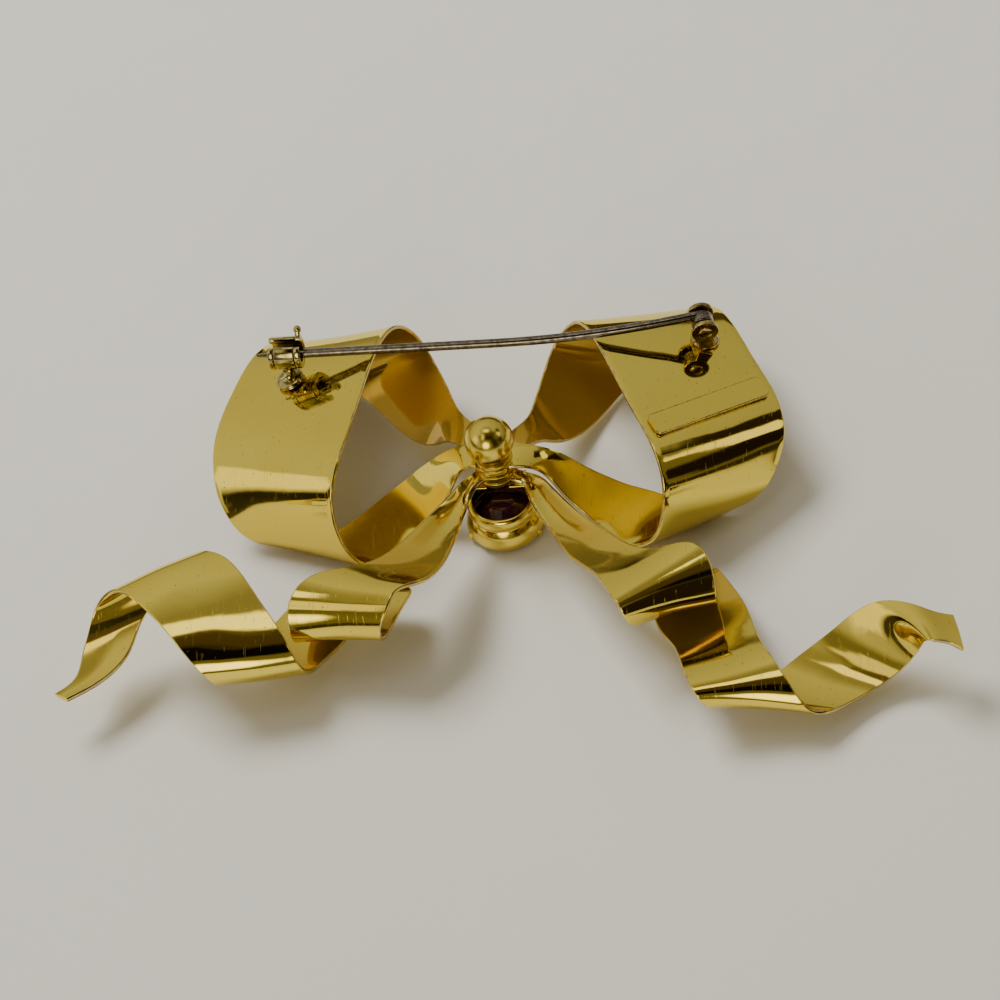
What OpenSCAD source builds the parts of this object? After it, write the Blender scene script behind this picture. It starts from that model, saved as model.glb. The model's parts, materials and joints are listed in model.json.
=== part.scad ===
// Bow brooch of sheet metal ribbon, lying face down: the stone is at the bottom and the pin on top.
// The origin is on the floor, Z = 0, under the middle of the brooch, and the bow's loops point along X.

/* [Ribbon] */
// Thickness of the ribbon's sheet
sheet = 0.45; // [0.35:0.05:0.6]

/* [Loops] */
// From the knot out to the loops' outer edges
loop_reach = 30; // [27:0.5:34]
// From the knot up to the height that the loops' tables measure rise in
loop_rise = 20; // [18:0.5:23]
// From the floor to the middle of the sheet on the loops' backs
loop_depth = 12; // [11:0.25:13.5]

/* [Tails] */
// From the knot out to where the tails' tables measure reach in
tail_reach = 40; // [37:0.5:44]
// From the knot down to where the tails' tables measure drop in
tail_drop = 25; // [23:0.5:28]
// Height of the tails' curls
tail_depth = 10; // [9:0.25:11]

/* [Knot] */
// Radius of the round ends of the ribbons
eyelet_r = 2; // [1.9:0.1:2.3]
// Width of an arm where it leaves its round end
arm_w = 3; // [2.4:0.1:3.6]
// Width of a tail's arm at the knot
tail_arm_w = 1.5; // [1.2:0.1:2]
// Gap between two stacked or soldered pieces
film = 0.05; // [0.03:0.01:0.08]
// Radius of the post through the knot
post_r = 0.8; // [0.6:0.05:1]
// Radius of the post's round head
head_r = 2.5; // [2.2:0.1:2.8]
// Radius of the collar under the head
collar_r = 1.6; // [1.4:0.1:1.9]
// Thickness of the collar
collar_t = 0.5; // [0.4:0.1:0.7]

/* [Stone] */
// Radius of the stone at its girdle
stone_r = 3.5; // [3.3:0.1:3.8]
// Height of the stone's crown, from its table to its girdle
crown_h = 1.1; // [0.9:0.1:1.4]
// Height of the stone's girdle
girdle_t = 0.2; // [0.15:0.05:0.25]
// Height of the stone's pavilion, from its girdle to its flat back
pavilion_h = 2.2; // [1.8:0.1:2.4]
// Facets round the stone
facets = 8; // [8:1:12]
// How far the stone's centre lies below the knot
stone_drop = 1.9; // [1.6:0.1:2.2]
// How far the stone's centre lies to the right of the knot
stone_side = 0.3; // [0:0.05:0.4]
// Radius of a claw
claw_r = 0.35; // [0.3:0.05:0.4]
// Length of a claw
claw_l = 1.9; // [1.6:0.1:2.1]
// Wall of the collet
collet_wall = 0.35; // [0.3:0.05:0.45]
// Height of the collet's back rim above the floor
rim_z = 4.5; // [4.2:0.1:4.8]
// Inner radius of the collet's open back
rim_r = 3; // [2.8:0.1:3.2]
// Height of the straight neck under the collet's back rim
rim_h = 1.1; // [0.9:0.1:1.2]
// Height of the bridge between the collet's back and the knot
bridge_h = 1.5; // [1.3:0.1:1.8]
// Width of the bridge's strap
bridge_w = 2.2; // [1.8:0.1:2.6]
// Thickness of the bridge's strap
strap_t = 0.9; // [0.7:0.1:1.1]
// Radius of the boss between the strap and the knot
boss_r = 1.6; // [1.4:0.1:1.8]

/* [Pin] */
// Diameter of the pin's wire
pin_d = 0.95; // [0.8:0.05:1.1]
// Height of the pin above the middle of the sheet on the loops' backs
pin_lift = 0.95; // [0.9:0.05:1.3]
// How far the pin bows down between its hinge and its catch
pin_bow = 1.2; // [0.6:0.1:1.4]
// How far the pin's point stands out past the catch
pin_past = 1.6; // [1.2:0.2:2.4]
// Length of the pin's ground point
point_l = 3.4; // [2.6:0.2:4]
// Radius of the pin's tip
tip_r = 0.1; // [0.05:0.05:0.15]
// Length of the even stretch of wire between the bow and the left loop's edge
shaft_l = 11; // [9:0.5:11.5]
// Share of the wire's diameter that its slow taper leaves at the point's root
taper = 0.94; // [0.9:0.01:0.98]

/* [Catch] */
// Outer radius of the catch's housing and of its sleeve's rims
housing_r = 1.7; // [1.65:0.05:1.85]
// Wall of the housing and of the sleeve in it
catch_wall = 0.3; // [0.28:0.01:0.32]
// Running clearance between the sleeve and the housing
catch_play = 0.05; // [0.03:0.01:0.07]
// Length of the housing along the pin
housing_l = 2.1; // [1.5:0.1:2.4]
// Thickness of one rim of the sleeve
sleeve_rim_t = 0.55; // [0.45:0.05:0.7]
// Width of the slot that the pin drops through
slot_w = 1.15; // [1.1:0.05:1.25]
// Height of the sleeve's lever above the rim
lever_h = 1.1; // [0.8:0.1:1.3]
// Width of the lever
lever_w = 0.8; // [0.6:0.1:0.9]
// How far the barrel's axis stands above the pin's
barrel_lift = 0.25; // [0.15:0.05:0.35]
// How far the catch's neck leans up the loop from its foot
neck_lean = 1.2; // [0.8:0.1:1.4]

/* [Hinge] */
// Outer radius of the hinge's ears
ear_r = 1.4; // [1.3:0.05:1.6]
// Thickness of one ear
ear_t = 0.45; // [0.35:0.05:0.6]
// Outer radius of the pin's coiled eye
eye_r = 1.15; // [1.05:0.05:1.25]
// Length of the pin's coiled eye along the rivet
eye_l = 1.9; // [1.6:0.1:2.1]
// How far the rivet's axis lies below the pin's own
eye_drop = 0.65; // [0.55:0.05:0.65]
// Gap between the pin's eye and an ear
ear_gap = 0.08; // [0.05:0.01:0.12]
// Radius of the hinge's rivet
rivet_r = 0.45; // [0.4:0.05:0.5]
// Running clearance round the rivet
rivet_play = 0.05; // [0.03:0.01:0.07]
// Radius of the rivet's heads
rivet_head_r = 0.7; // [0.6:0.05:0.8]
// Thickness of a rivet's head
rivet_head_t = 0.2; // [0.15:0.05:0.3]
// Width of the hinge's web and of its ears' legs
web_w = 1.6; // [1.4:0.1:1.8]
// Clearance between the web and the pin's eye
web_gap = 0.2; // [0.1:0.05:0.3]

/* [Feet] */
// Radius of the round foot that a fitting is soldered on by
foot_r = 1.5; // [1.3:0.1:1.7]
// Thickness of a foot
foot_t = 0.5; // [0.4:0.05:0.6]
// Radius of the catch's neck
neck_r = 0.65; // [0.55:0.05:0.7]
// Solder gap under a foot and under the tag
solder_gap = 0.12; // [0.1:0.01:0.16]

/* [Tag] */
// Width of the raised tag
tag_w = 2.6; // [2.2:0.1:2.9]
// Thickness of the raised tag
tag_t = 0.4; // [0.3:0.05:0.5]

/* [Hidden] */
$fn = 48;
// Spline steps between two sections of a ribbon, and strips across its width
steps = 3;
strips = 4;
// Where the knot's post stands
knot_at = [-1.2, 3.8, 0];
layer_t = sheet + film;
layers = 6;
stack_z = rim_z + bridge_h + film;
collar_z = stack_z + layers * layer_t;
// The head's flat is this share of its radius below its centre
head_flat = 0.7;
head_z = collar_z + collar_t + head_flat * head_r;
// How far a cutting shape runs past what it cuts
cut = 1;

// Sections of the loops, from the upper arm round to the lower arm, as shares of reach, rise and depth.
// Each row: near edge out, up, high, then far edge out, up, high.
left_loop_rows = [
    [0.14, 0.40, 0.52, 0.19, 0.25, 0.45], // upper arm, narrow
    [0.19, 0.59, 0.44, 0.27, 0.33, 0.23],
    [0.23, 0.73, 0.42, 0.37, 0.48, 0.10],
    [0.28, 0.86, 0.52, 0.53, 0.78, 0.03], // front of the loop
    [0.32, 0.87, 0.75, 0.69, 0.96, 0.15], // top roll
    [0.36, 0.81, 0.92, 0.78, 0.99, 0.40],
    [0.40, 0.66, 1.00, 0.86, 0.87, 0.64], // flat back
    [0.44, 0.38, 1.00, 0.935, 0.57, 0.69],
    [0.485, 0.04, 0.98, 0.985, 0.25, 0.66],
    [0.515, -0.14, 0.91, 0.985, 0.07, 0.56],
    [0.535, -0.24, 0.75, 0.975, -0.02, 0.43], // bottom roll
    [0.535, -0.30, 0.46, 0.94, -0.11, 0.28],
    [0.505, -0.35, 0.20, 0.88, -0.17, 0.13],
    [0.42, -0.37, 0.04, 0.73, -0.18, 0.03],
    [0.35, -0.32, 0.04, 0.57, -0.10, 0.03], // lower arm
    [0.295, -0.245, 0.08, 0.45, 0.03, 0.10],
    [0.245, -0.155, 0.15, 0.36, 0.115, 0.17],
    [0.19, -0.10, 0.32, 0.28, 0.12, 0.36],
    [0.145, -0.065, 0.50, 0.20, 0.10, 0.56],
];
right_loop_rows = [
    [0.09, 0.33, 0.52, 0.15, 0.22, 0.45],
    [0.105, 0.45, 0.45, 0.20, 0.30, 0.24],
    [0.12, 0.58, 0.42, 0.29, 0.46, 0.09],
    [0.165, 0.80, 0.52, 0.42, 0.78, 0.03],
    [0.23, 0.82, 0.75, 0.59, 1.00, 0.15],
    [0.285, 0.76, 0.92, 0.68, 1.06, 0.40],
    [0.35, 0.58, 1.00, 0.765, 0.94, 0.62],
    [0.42, 0.33, 1.00, 0.86, 0.62, 0.67],
    [0.51, 0.02, 0.98, 0.945, 0.35, 0.64],
    [0.565, -0.17, 0.91, 0.975, 0.16, 0.55],
    [0.58, -0.28, 0.75, 0.96, 0.08, 0.43],
    [0.56, -0.33, 0.46, 0.92, -0.03, 0.29],
    [0.525, -0.33, 0.20, 0.85, -0.09, 0.15],
    [0.455, -0.305, 0.04, 0.70, -0.09, 0.03],
    [0.405, -0.27, 0.04, 0.53, 0.035, 0.03],
    [0.335, -0.19, 0.08, 0.44, 0.06, 0.10],
    [0.285, -0.135, 0.15, 0.39, 0.07, 0.17],
    [0.215, -0.075, 0.32, 0.285, 0.08, 0.38],
    [0.165, -0.03, 0.51, 0.21, 0.09, 0.56],
];

// Sections of the tails, from the knot to the cut end, as shares of reach, drop and depth.
// Each row: near edge out, down, high, then far edge out, down, high. Near is the side away from the other tail.
left_tail_rows = [
    [0.088, 0.05, 0.64, 0.055, 0.096, 0.65], // arm
    [0.108, 0.093, 0.63, 0.07, 0.15, 0.59],
    [0.168, 0.228, 0.67, 0.088, 0.305, 0.63],
    [0.27, 0.47, 0.80, 0.11, 0.52, 0.80],
    [0.36, 0.55, 0.93, 0.155, 0.635, 0.93],
    [0.44, 0.60, 0.98, 0.21, 0.68, 0.98], // first band, near side
    [0.48, 0.70, 0.93, 0.23, 0.755, 0.93],
    [0.485, 0.755, 0.80, 0.25, 0.795, 0.80],
    [0.48, 0.79, 0.60, 0.255, 0.805, 0.60], // turn at the bottom
    [0.48, 0.70, 0.45, 0.24, 0.69, 0.45],
    [0.46, 0.56, 0.38, 0.215, 0.55, 0.38],
    [0.45, 0.46, 0.32, 0.21, 0.48, 0.32], // hidden turn at the top
    [0.50, 0.49, 0.26, 0.28, 0.51, 0.26],
    [0.545, 0.57, 0.24, 0.37, 0.70, 0.24],
    [0.62, 0.75, 0.26, 0.43, 0.82, 0.26],
    [0.665, 0.92, 0.40, 0.445, 0.885, 0.40], // turn at the bottom
    [0.68, 0.96, 0.62, 0.46, 0.905, 0.62],
    [0.72, 0.92, 0.80, 0.49, 0.825, 0.80], // second band, near side
    [0.77, 0.83, 0.93, 0.55, 0.69, 0.93],
    [0.855, 0.69, 1.00, 0.63, 0.51, 1.00],
    [0.915, 0.615, 0.98, 0.70, 0.44, 0.98], // turn at the top
    [0.96, 0.605, 0.86, 0.765, 0.45, 0.86],
    [0.995, 0.625, 0.70, 0.82, 0.54, 0.70],
    [1.015, 0.71, 0.55, 0.88, 0.64, 0.55],
    [1.025, 0.785, 0.50, 0.90, 0.78, 0.50],
    [1.035, 0.89, 0.46, 0.97, 0.91, 0.46],
    [1.08, 0.96, 0.48, 1.045, 0.99, 0.48], // tip
];
right_tail_rows = [
    [0.072, 0.065, 0.61, 0.105, 0.027, 0.615],
    [0.088, 0.135, 0.575, 0.136, 0.073, 0.61],
    [0.145, 0.295, 0.55, 0.2175, 0.232, 0.615],
    [0.20, 0.48, 0.70, 0.305, 0.375, 0.70],
    [0.28, 0.63, 0.86, 0.42, 0.515, 0.86],
    [0.31, 0.73, 0.93, 0.50, 0.50, 0.93],
    [0.33, 0.78, 0.93, 0.54, 0.55, 0.93],
    [0.345, 0.815, 0.80, 0.56, 0.65, 0.80],
    [0.36, 0.79, 0.60, 0.56, 0.69, 0.60],
    [0.375, 0.70, 0.44, 0.555, 0.63, 0.44],
    [0.385, 0.59, 0.34, 0.54, 0.49, 0.34],
    [0.39, 0.575, 0.26, 0.545, 0.425, 0.26],
    [0.40, 0.675, 0.24, 0.58, 0.49, 0.24],
    [0.44, 0.80, 0.34, 0.63, 0.655, 0.34],
    [0.47, 0.93, 0.50, 0.66, 0.845, 0.50],
    [0.49, 1.055, 0.60, 0.69, 0.955, 0.60],
    [0.515, 1.125, 0.56, 0.73, 1.07, 0.56],
    [0.545, 1.115, 0.36, 0.78, 1.155, 0.36],
    [0.63, 1.03, 0.20, 0.86, 1.095, 0.20],
    [0.74, 0.87, 0.20, 0.965, 0.985, 0.20],
    [0.85, 0.775, 0.40, 1.03, 0.93, 0.40],
    [0.95, 0.74, 0.66, 1.055, 0.935, 0.66],
    [1.03, 0.795, 0.74, 1.07, 0.965, 0.74],
    [1.07, 0.82, 0.70, 1.10, 0.96, 0.70],
    [1.12, 0.825, 0.64, 1.14, 0.985, 0.64],
];

// A share table turned to millimetres: side is -1 on the left and 1 on the right
function sized(rows, side, x, y, z) = [for (r = rows)
    [side * x * r[0], y * r[1], z * r[2], side * x * r[3], y * r[4], z * r[5]]];

// A section of an arm at radius r, level with its round end, that points at the arm's first free section
function knot_section(first, layer, r, w) =
    let (to = (near_edge(first) + far_edge(first)) / 2,
         dir = unit([to.x, to.y]),
         across = [-dir.y, dir.x],
         turn = sign((near_edge(first) - to) * [across.x, across.y, 0]),
         mid = r * dir,
         half = turn * w / 2 * across,
         z = stack_z + layer * layer_t + sheet / 2)
    [mid.x + half.x, mid.y + half.y, z, mid.x - half.x, mid.y - half.y, z];

// An arm leaves its round end level, and stays level until it is clear of the stack
root_r = eyelet_r - sheet;
level_r = eyelet_r + sheet;
function from_knot(rows, layer, w) = concat([knot_section(rows[0], layer, level_r, w)], rows);
function to_knot(rows, layer, w) = concat(rows, [knot_section(rows[len(rows) - 1], layer, level_r, w)]);

// Catmull-Rom spline through the sections, as a longer list of sections
function spline_at(p, i, t) =
    let (n = len(p) - 1, a = p[max(i - 1, 0)], b = p[i], c = p[min(i + 1, n)], d = p[min(i + 2, n)])
    0.5 * (2 * b + (c - a) * t + (2 * a - 5 * b + 4 * c - d) * t * t + (3 * b - a - 3 * c + d) * t * t * t);
function smooth(p) = [for (i = [0 : len(p) - 2], s = [0 : steps - 1]) spline_at(p, i, s / steps), p[len(p) - 1]];

function near_edge(s) = [s[0], s[1], s[2]];
function far_edge(s) = [s[3], s[4], s[5]];
function unit(v) = v / norm(v);
function middle(s) = (near_edge(s) + far_edge(s)) / 2;
function facing(p, i) = unit(cross(middle(p[min(i + 1, len(p) - 1)]) - middle(p[max(i - 1, 0)]),
                                   far_edge(p[i]) - near_edge(p[i])));

// One closed ring of points round a sheet of thickness t at section i
function ring(p, i, t) =
    let (a = near_edge(p[i]), b = far_edge(p[i]), n = facing(p, i) * t / 2)
    concat([for (k = [0 : strips]) a + (b - a) * k / strips + n],
           [for (k = [strips : -1 : 0]) a + (b - a) * k / strips - n]);

// A strip of sheet that follows a list of sections
module ribbon(p, t = sheet) {
    m = 2 * strips + 2;
    last = len(p) - 1;
    points = [for (i = [0 : last]) each ring(p, i, t)];
    sides = [for (i = [0 : last - 1], k = [0 : m - 1])
        each let (a = i * m + k, b = i * m + (k + 1) % m) [[a, b, b + m], [a, b + m, a + m]]];
    caps = [for (k = [0 : strips - 1], e = [0, last])
        each let (a = e * m + k, b = e * m + m - 1 - k, flip = e == 0)
            flip ? [[a, b, a + 1], [b, b - 1, a + 1]] : [[a, a + 1, b], [b, a + 1, b - 1]]];
    polyhedron(points, concat(sides, caps));
}

left_loop_sections = to_knot(
    from_knot(sized(left_loop_rows, -1, loop_reach, loop_rise, loop_depth), 3, arm_w), 5, arm_w);
right_loop_sections = to_knot(
    from_knot(sized(right_loop_rows, 1, loop_reach, loop_rise, loop_depth), 2, arm_w), 4, arm_w);
left_tail_sections = from_knot(sized(left_tail_rows, -1, tail_reach, -tail_drop, tail_depth), 1, tail_arm_w);
right_tail_sections = from_knot(sized(right_tail_rows, 1, tail_reach, -tail_drop, tail_depth), 0, tail_arm_w);

// The round ends of a ribbon on their layers of the stack
module eyelets(on) {
    for (layer = on)
        translate([0, 0, stack_z + layer * layer_t]) cylinder(r = eyelet_r, h = sheet);
}

module post_hole() {
    translate([0, 0, -cut]) cylinder(r = post_r + film, h = head_z + 2 * cut);
}

// A whole ribbon with its round ends, drilled for the post. A loop ends on two layers, a tail on one.
module strip(sections, on, w) {
    last = len(sections) - 1;
    start = knot_section(sections[1], on[0], root_r, w);
    end = len(on) > 1 ? [knot_section(sections[last - 1], on[1], root_r, w)] : [];
    translate(knot_at) difference() {
        union() {
            ribbon(concat([start], smooth(sections), end));
            eyelets(on);
        }
        post_hole();
    }
}

// A place on a loop's back: how far along its sections, and how far across from the near edge
function back_point(sections, along, across) =
    let (i = floor(along), s = spline_at(sections, i, along - i))
    near_edge(s) + (far_edge(s) - near_edge(s)) * across;
function back_normal(sections, along, across) =
    let (d = 0.25,
         n = unit(cross(back_point(sections, along + d, across) - back_point(sections, along - d, across),
                        back_point(sections, along, across + d) - back_point(sections, along, across - d))))
    n.z < 0 ? -n : n;

// The same place on the sheet's outer face, a solder gap above it
function seat_point(sections, along, across) =
    back_point(sections, along, across) + back_normal(sections, along, across) * (sheet / 2 + solder_gap);

// Turns its children's Z axis to the direction v
module aimed(v) {
    rotate([0, acos(v.z), atan2(v.y, v.x)]) rotate([0, 0, -atan2(v.y, v.x)]) children();
}

// A round foot on a loop's back, with what stands on it cut off halfway down the foot
module footed(sections, along, across) {
    n = back_normal(sections, along, across);
    at = seat_point(sections, along, across);
    translate(at) aimed(n) cylinder(r = foot_r, h = foot_t);
    difference() {
        children();
        translate(at) aimed(n) translate([-2 * foot_r, -2 * foot_r, foot_t / 2 - 4 * foot_r]) cube(4 * foot_r);
    }
}

// Sections and shares across at which the fittings stand
catch_along = 7.9;
catch_across = 0.57;
hinge_along = 7.65;
hinge_across = 0.73;
pin_z = loop_depth + pin_lift;
// The pin leaves its eye over the rivet, at the eye's upper end
eye_y = (eye_l - pin_d) / 2;
catch_foot = back_point(left_loop_sections, catch_along, catch_across);
hinge_foot = back_point(right_loop_sections, hinge_along, hinge_across);
eye_at = [hinge_foot.x, hinge_foot.y + eye_y, pin_z];
hinge_at = eye_at - [0, 0, eye_drop];
catch_at = [catch_foot.x, catch_foot.y + neck_lean, pin_z];
// The pin is straight from its point to halfway, and bows evenly from there to its eye
bend_at = (eye_at + catch_at) / 2 - [0, pin_bow, 0];
pin_dir = unit(catch_at - bend_at);
pin_turn = atan2(pin_dir.y, pin_dir.x);
bow_side = [pin_dir.y, -pin_dir.x, 0];
bow_rise = abs((eye_at - bend_at) * bow_side);
bow_r = pow(norm(eye_at - bend_at), 2) / (2 * bow_rise);
bow_angle = 2 * asin(norm(eye_at - bend_at) / (2 * bow_r));
eye_turn = pin_turn + bow_angle;
barrel_l = housing_l + 2 * (sleeve_rim_t + catch_play);

module left_loop() { color("gold") strip(left_loop_sections, [3, 5], arm_w); }
module right_loop() { color("gold") strip(right_loop_sections, [2, 4], arm_w); }
module left_tail() { color("goldenrod") strip(left_tail_sections, [1], tail_arm_w); }
module right_tail() { color("goldenrod") strip(right_tail_sections, [0], tail_arm_w); }

module knot_collar() {
    color("darkgoldenrod") translate(knot_at + [0, 0, collar_z]) difference() {
        cylinder(r = collar_r, h = collar_t);
        translate([0, 0, -cut]) cylinder(r = post_r + film, h = collar_t + 2 * cut);
    }
}

// The post ends in the bridge's bore and its head rests on the collar
module knot_post() {
    color("gold") translate(knot_at) {
        translate([0, 0, rim_z + film]) cylinder(r = post_r, h = head_z - rim_z);
        difference() {
            translate([0, 0, head_z]) sphere(r = head_r);
            translate([0, 0, collar_z + collar_t + film - 2 * head_r])
                cylinder(r = 2 * head_r, h = 2 * head_r);
        }
    }
}

girdle_z = crown_h;
claw_angle = 30;
collet_r = stone_r + collet_wall + film;
neck_out = rim_r + collet_wall;
// The collet's front edge, the height of its seat's shoulder, and how far its seat stands out
collet_z = girdle_z - 0.75;
shoulder = 0.6;
flare = 0.15;
strap_z = rim_z - strap_t / 2;

// The open collet, its claws, and the bridge that takes the post
module stone_setting() {
    color("gold") translate(knot_at) {
        translate([stone_side, -stone_drop, 0]) {
            rotate_extrude() polygon([
                [stone_r + film, collet_z], [collet_r, collet_z], [collet_r + flare, girdle_z],
                [collet_r, girdle_z + shoulder], [neck_out, rim_z - rim_h], [neck_out, rim_z],
                [rim_r, rim_z], [rim_r, rim_z - rim_h], [stone_r + film, girdle_z + shoulder]]);
            for (side = [-1, 1], up = [-1, 1])
                rotate([0, 0, 90 - side * (90 - up * claw_angle)])
                    translate([collet_r + flare / 2, 0, collet_z - flare]) cylinder(r = claw_r, h = claw_l);
        }
        difference() {
            intersection() {
                translate([-2 * rim_r, -bridge_w / 2, strap_z]) cube([4 * rim_r, bridge_w, strap_t]);
                translate([stone_side, -stone_drop, strap_z])
                    cylinder(r = rim_r + collet_wall / 2, h = strap_t);
            }
            translate([0, 0, rim_z]) cylinder(r = post_r + film, h = strap_t);
        }
        difference() {
            translate([0, 0, rim_z + strap_t / 3]) cylinder(r = boss_r, h = bridge_h - strap_t / 3);
            translate([0, 0, rim_z]) cylinder(r = post_r + film, h = bridge_h + cut);
        }
    }
}

// Rings of the cut stone's corners, from its table up to its back.
// Each row: share of the radius, then shares of the crown, the girdle and the pavilion that lie below the ring.
stone_rows = [
    [0.62, 0, 0, 0], // table
    [0.86, 0.55, 0, 0],
    [1, 1, 0, 0], // girdle
    [1, 1, 1, 0],
    [0.72, 1, 1, 0.6],
    [0.34, 1, 1, 1], // back
];
// Share of the radius at which the corners between two main facets lie
ridge = 0.97;

// The cut stone: a table, a crown and a stepped pavilion that ends in a small flat
module stone() {
    n = 2 * facets;
    points = [for (r = stone_rows, k = [0 : n - 1])
        let (out = stone_r * r[0] * (k % 2 == 0 ? 1 : ridge), turn = k * 360 / n)
        [out * cos(turn), out * sin(turn), crown_h * r[1] + girdle_t * r[2] + pavilion_h * r[3]]];
    walls = [for (j = [0 : len(stone_rows) - 2], k = [0 : n - 1])
        each let (a = j * n + k, b = j * n + (k + 1) % n) [[a, b + n, b], [a, a + n, b + n]]];
    table = [for (k = [0 : n - 1]) k];
    back = [for (k = [n - 1 : -1 : 0]) (len(stone_rows) - 1) * n + k];
    color("indigo") translate(knot_at + [stone_side, -stone_drop, 0])
        polyhedron(points, concat([table], walls, [back]));
}

// A slotted tube along X, open upwards
module slotted(r_out, r_in, l) {
    difference() {
        rotate([0, 90, 0]) cylinder(r = r_out, h = l, center = true);
        rotate([0, 90, 0]) cylinder(r = r_in, h = l + cut, center = true);
        translate([-l, -slot_w / 2, 0]) cube([2 * l, slot_w, 2 * r_out]);
    }
}

bore_r = housing_r - catch_wall;
sleeve_r = bore_r - catch_play;

module at_catch() {
    translate(knot_at + catch_at + [0, 0, barrel_lift]) rotate([0, 0, pin_turn]) children();
}

// Foot, leaning neck and C-shaped housing, in one piece. The neck points at the barrel's axis.
module catch_base() {
    from = seat_point(left_loop_sections, catch_along, catch_across);
    to = catch_at + [0, 0, barrel_lift];
    color("darkkhaki") {
        at_catch() slotted(housing_r, bore_r, housing_l);
        translate(knot_at) footed(left_loop_sections, catch_along, catch_across)
            translate(from) aimed(unit(to - from))
                cylinder(r = neck_r, h = norm(to - from) - bore_r - catch_wall / 2);
    }
}

// How far the lever is turned from straight up
lever_turn = 38;

// The sleeve turns in the housing: two rims, and a lever on the rim nearer the knot
module catch_sleeve() {
    lever_x = -housing_l / 2 - catch_play - sleeve_rim_t;
    lever_z = housing_r - sleeve_r + lever_h - lever_w / 2;
    color("khaki") at_catch() {
        slotted(sleeve_r, sleeve_r - catch_wall, barrel_l);
        for (x = [-1, 1]) translate([x * (barrel_l - sleeve_rim_t) / 2, 0, 0])
            slotted(housing_r, sleeve_r - catch_wall, sleeve_rim_t);
        rotate([lever_turn, 0, 0]) translate([lever_x, 0, sleeve_r]) {
            translate([0, -lever_w / 2, 0]) cube([sleeve_rim_t, lever_w, lever_z]);
            translate([0, 0, lever_z]) rotate([0, 90, 0]) cylinder(r = lever_w / 2, h = sleeve_rim_t);
        }
    }
}

module hinge_turned() {
    translate(hinge_at) rotate([0, 0, eye_turn]) children();
}
module at_hinge() {
    translate(knot_at) hinge_turned() children();
}

// A drilled disc that lies across the hinge's axis
module disc(r_out, r_in, t, y) {
    translate([0, y, 0]) rotate([90, 0, 0]) difference() {
        cylinder(r = r_out, h = t, center = true);
        cylinder(r = r_in, h = t + cut, center = true);
    }
}

ear_y = eye_l / 2 + ear_gap + ear_t / 2;
hinge_drop = hinge_at.z - hinge_foot.z;

// Foot, web and two ears, in one piece
module hinge_base() {
    web_z = -hinge_drop;
    web_top = -eye_r - web_gap;
    leg_top = -rivet_r - rivet_head_t;
    color("darkgoldenrod") {
        for (side = [-1, 1]) at_hinge() disc(ear_r, rivet_r + film, ear_t, eye_y + side * ear_y);
        translate(knot_at) footed(right_loop_sections, hinge_along, hinge_across) hinge_turned() {
            for (side = [-1, 1]) translate([-web_w / 2, eye_y + side * ear_y - ear_t / 2, web_z])
                cube([web_w, ear_t, leg_top - web_z]);
            translate([-web_w / 2, eye_y - ear_y - ear_t / 2, web_z])
                cube([web_w, 2 * ear_y + ear_t, web_top - web_z]);
        }
    }
}

module hinge_rivet() {
    shank_l = 2 * ear_y + ear_t + 2 * film;
    color("silver") at_hinge() translate([0, eye_y, 0]) rotate([90, 0, 0]) {
        cylinder(r = rivet_r, h = shank_l + 2 * rivet_head_t, center = true);
        for (side = [-1, 1]) translate([0, 0, side * (shank_l + rivet_head_t) / 2])
            cylinder(r = rivet_head_r, h = rivet_head_t, center = true);
    }
}

// Sides of the bow's circle and of the wire
bow_fn = 720;
wire_fn = 48;

// The eye on the rivet, the bowed stretch, the even shaft, its slow taper through the catch, and the point
module pin_stem() {
    r = pin_d / 2;
    straight_l = norm(catch_at - bend_at) + barrel_l / 2 + pin_past - point_l;
    eye_angle = (rivet_r + rivet_play) / bow_r * 180 / PI;
    color("silver") {
        at_hinge() disc(eye_r, rivet_r + rivet_play, eye_l, eye_y);
        translate(knot_at + bend_at) rotate([0, 0, pin_turn]) {
            rotate([0, 90, 0]) cylinder(r = r, h = shaft_l);
            translate([shaft_l, 0, 0]) rotate([0, 90, 0])
                cylinder(r1 = r, r2 = r * taper, h = straight_l - shaft_l);
            translate([straight_l, 0, 0]) rotate([0, 90, 0])
                cylinder(r1 = r * taper, r2 = tip_r, h = point_l);
            translate([0, -bow_r, 0]) rotate([0, 0, 90])
                rotate_extrude(angle = bow_angle - eye_angle, $fn = bow_fn)
                    translate([bow_r, 0]) circle(r = r, $fn = wire_fn);
        }
    }
}

// Where the tag starts and ends on the right loop's back: along, and across
tag_from = [9.15, 0.06];
tag_to = [8.85, 0.93];
// Shares of the tag's length at which it has a section, and its width's share at both ends
tag_shares = [0, 0.05, 0.275, 0.5, 0.725, 0.95, 1];
tag_end = 0.6;

// One section across the tag, a share of the way from its start to its end
function tag_section(share) =
    let (at = tag_from + (tag_to - tag_from) * share,
         n = back_normal(right_loop_sections, at[0], at[1]),
         c = seat_point(right_loop_sections, at[0], at[1]) + n * tag_t / 2,
         run = back_point(right_loop_sections, tag_to[0], tag_to[1])
             - back_point(right_loop_sections, tag_from[0], tag_from[1]),
         half = unit(cross(run, n)) * tag_w / 2 * (share == 0 || share == 1 ? tag_end : 1))
    concat(c - half, c + half);

// The bare tag follows the loop's back
module tag_plate() {
    color("gold") translate(knot_at) ribbon([for (share = tag_shares) tag_section(share)], tag_t);
}

left_loop();
right_loop();
left_tail();
right_tail();
knot_collar();
knot_post();
stone_setting();
stone();
catch_base();
catch_sleeve();
hinge_base();
hinge_rivet();
pin_stem();
tag_plate();
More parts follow.
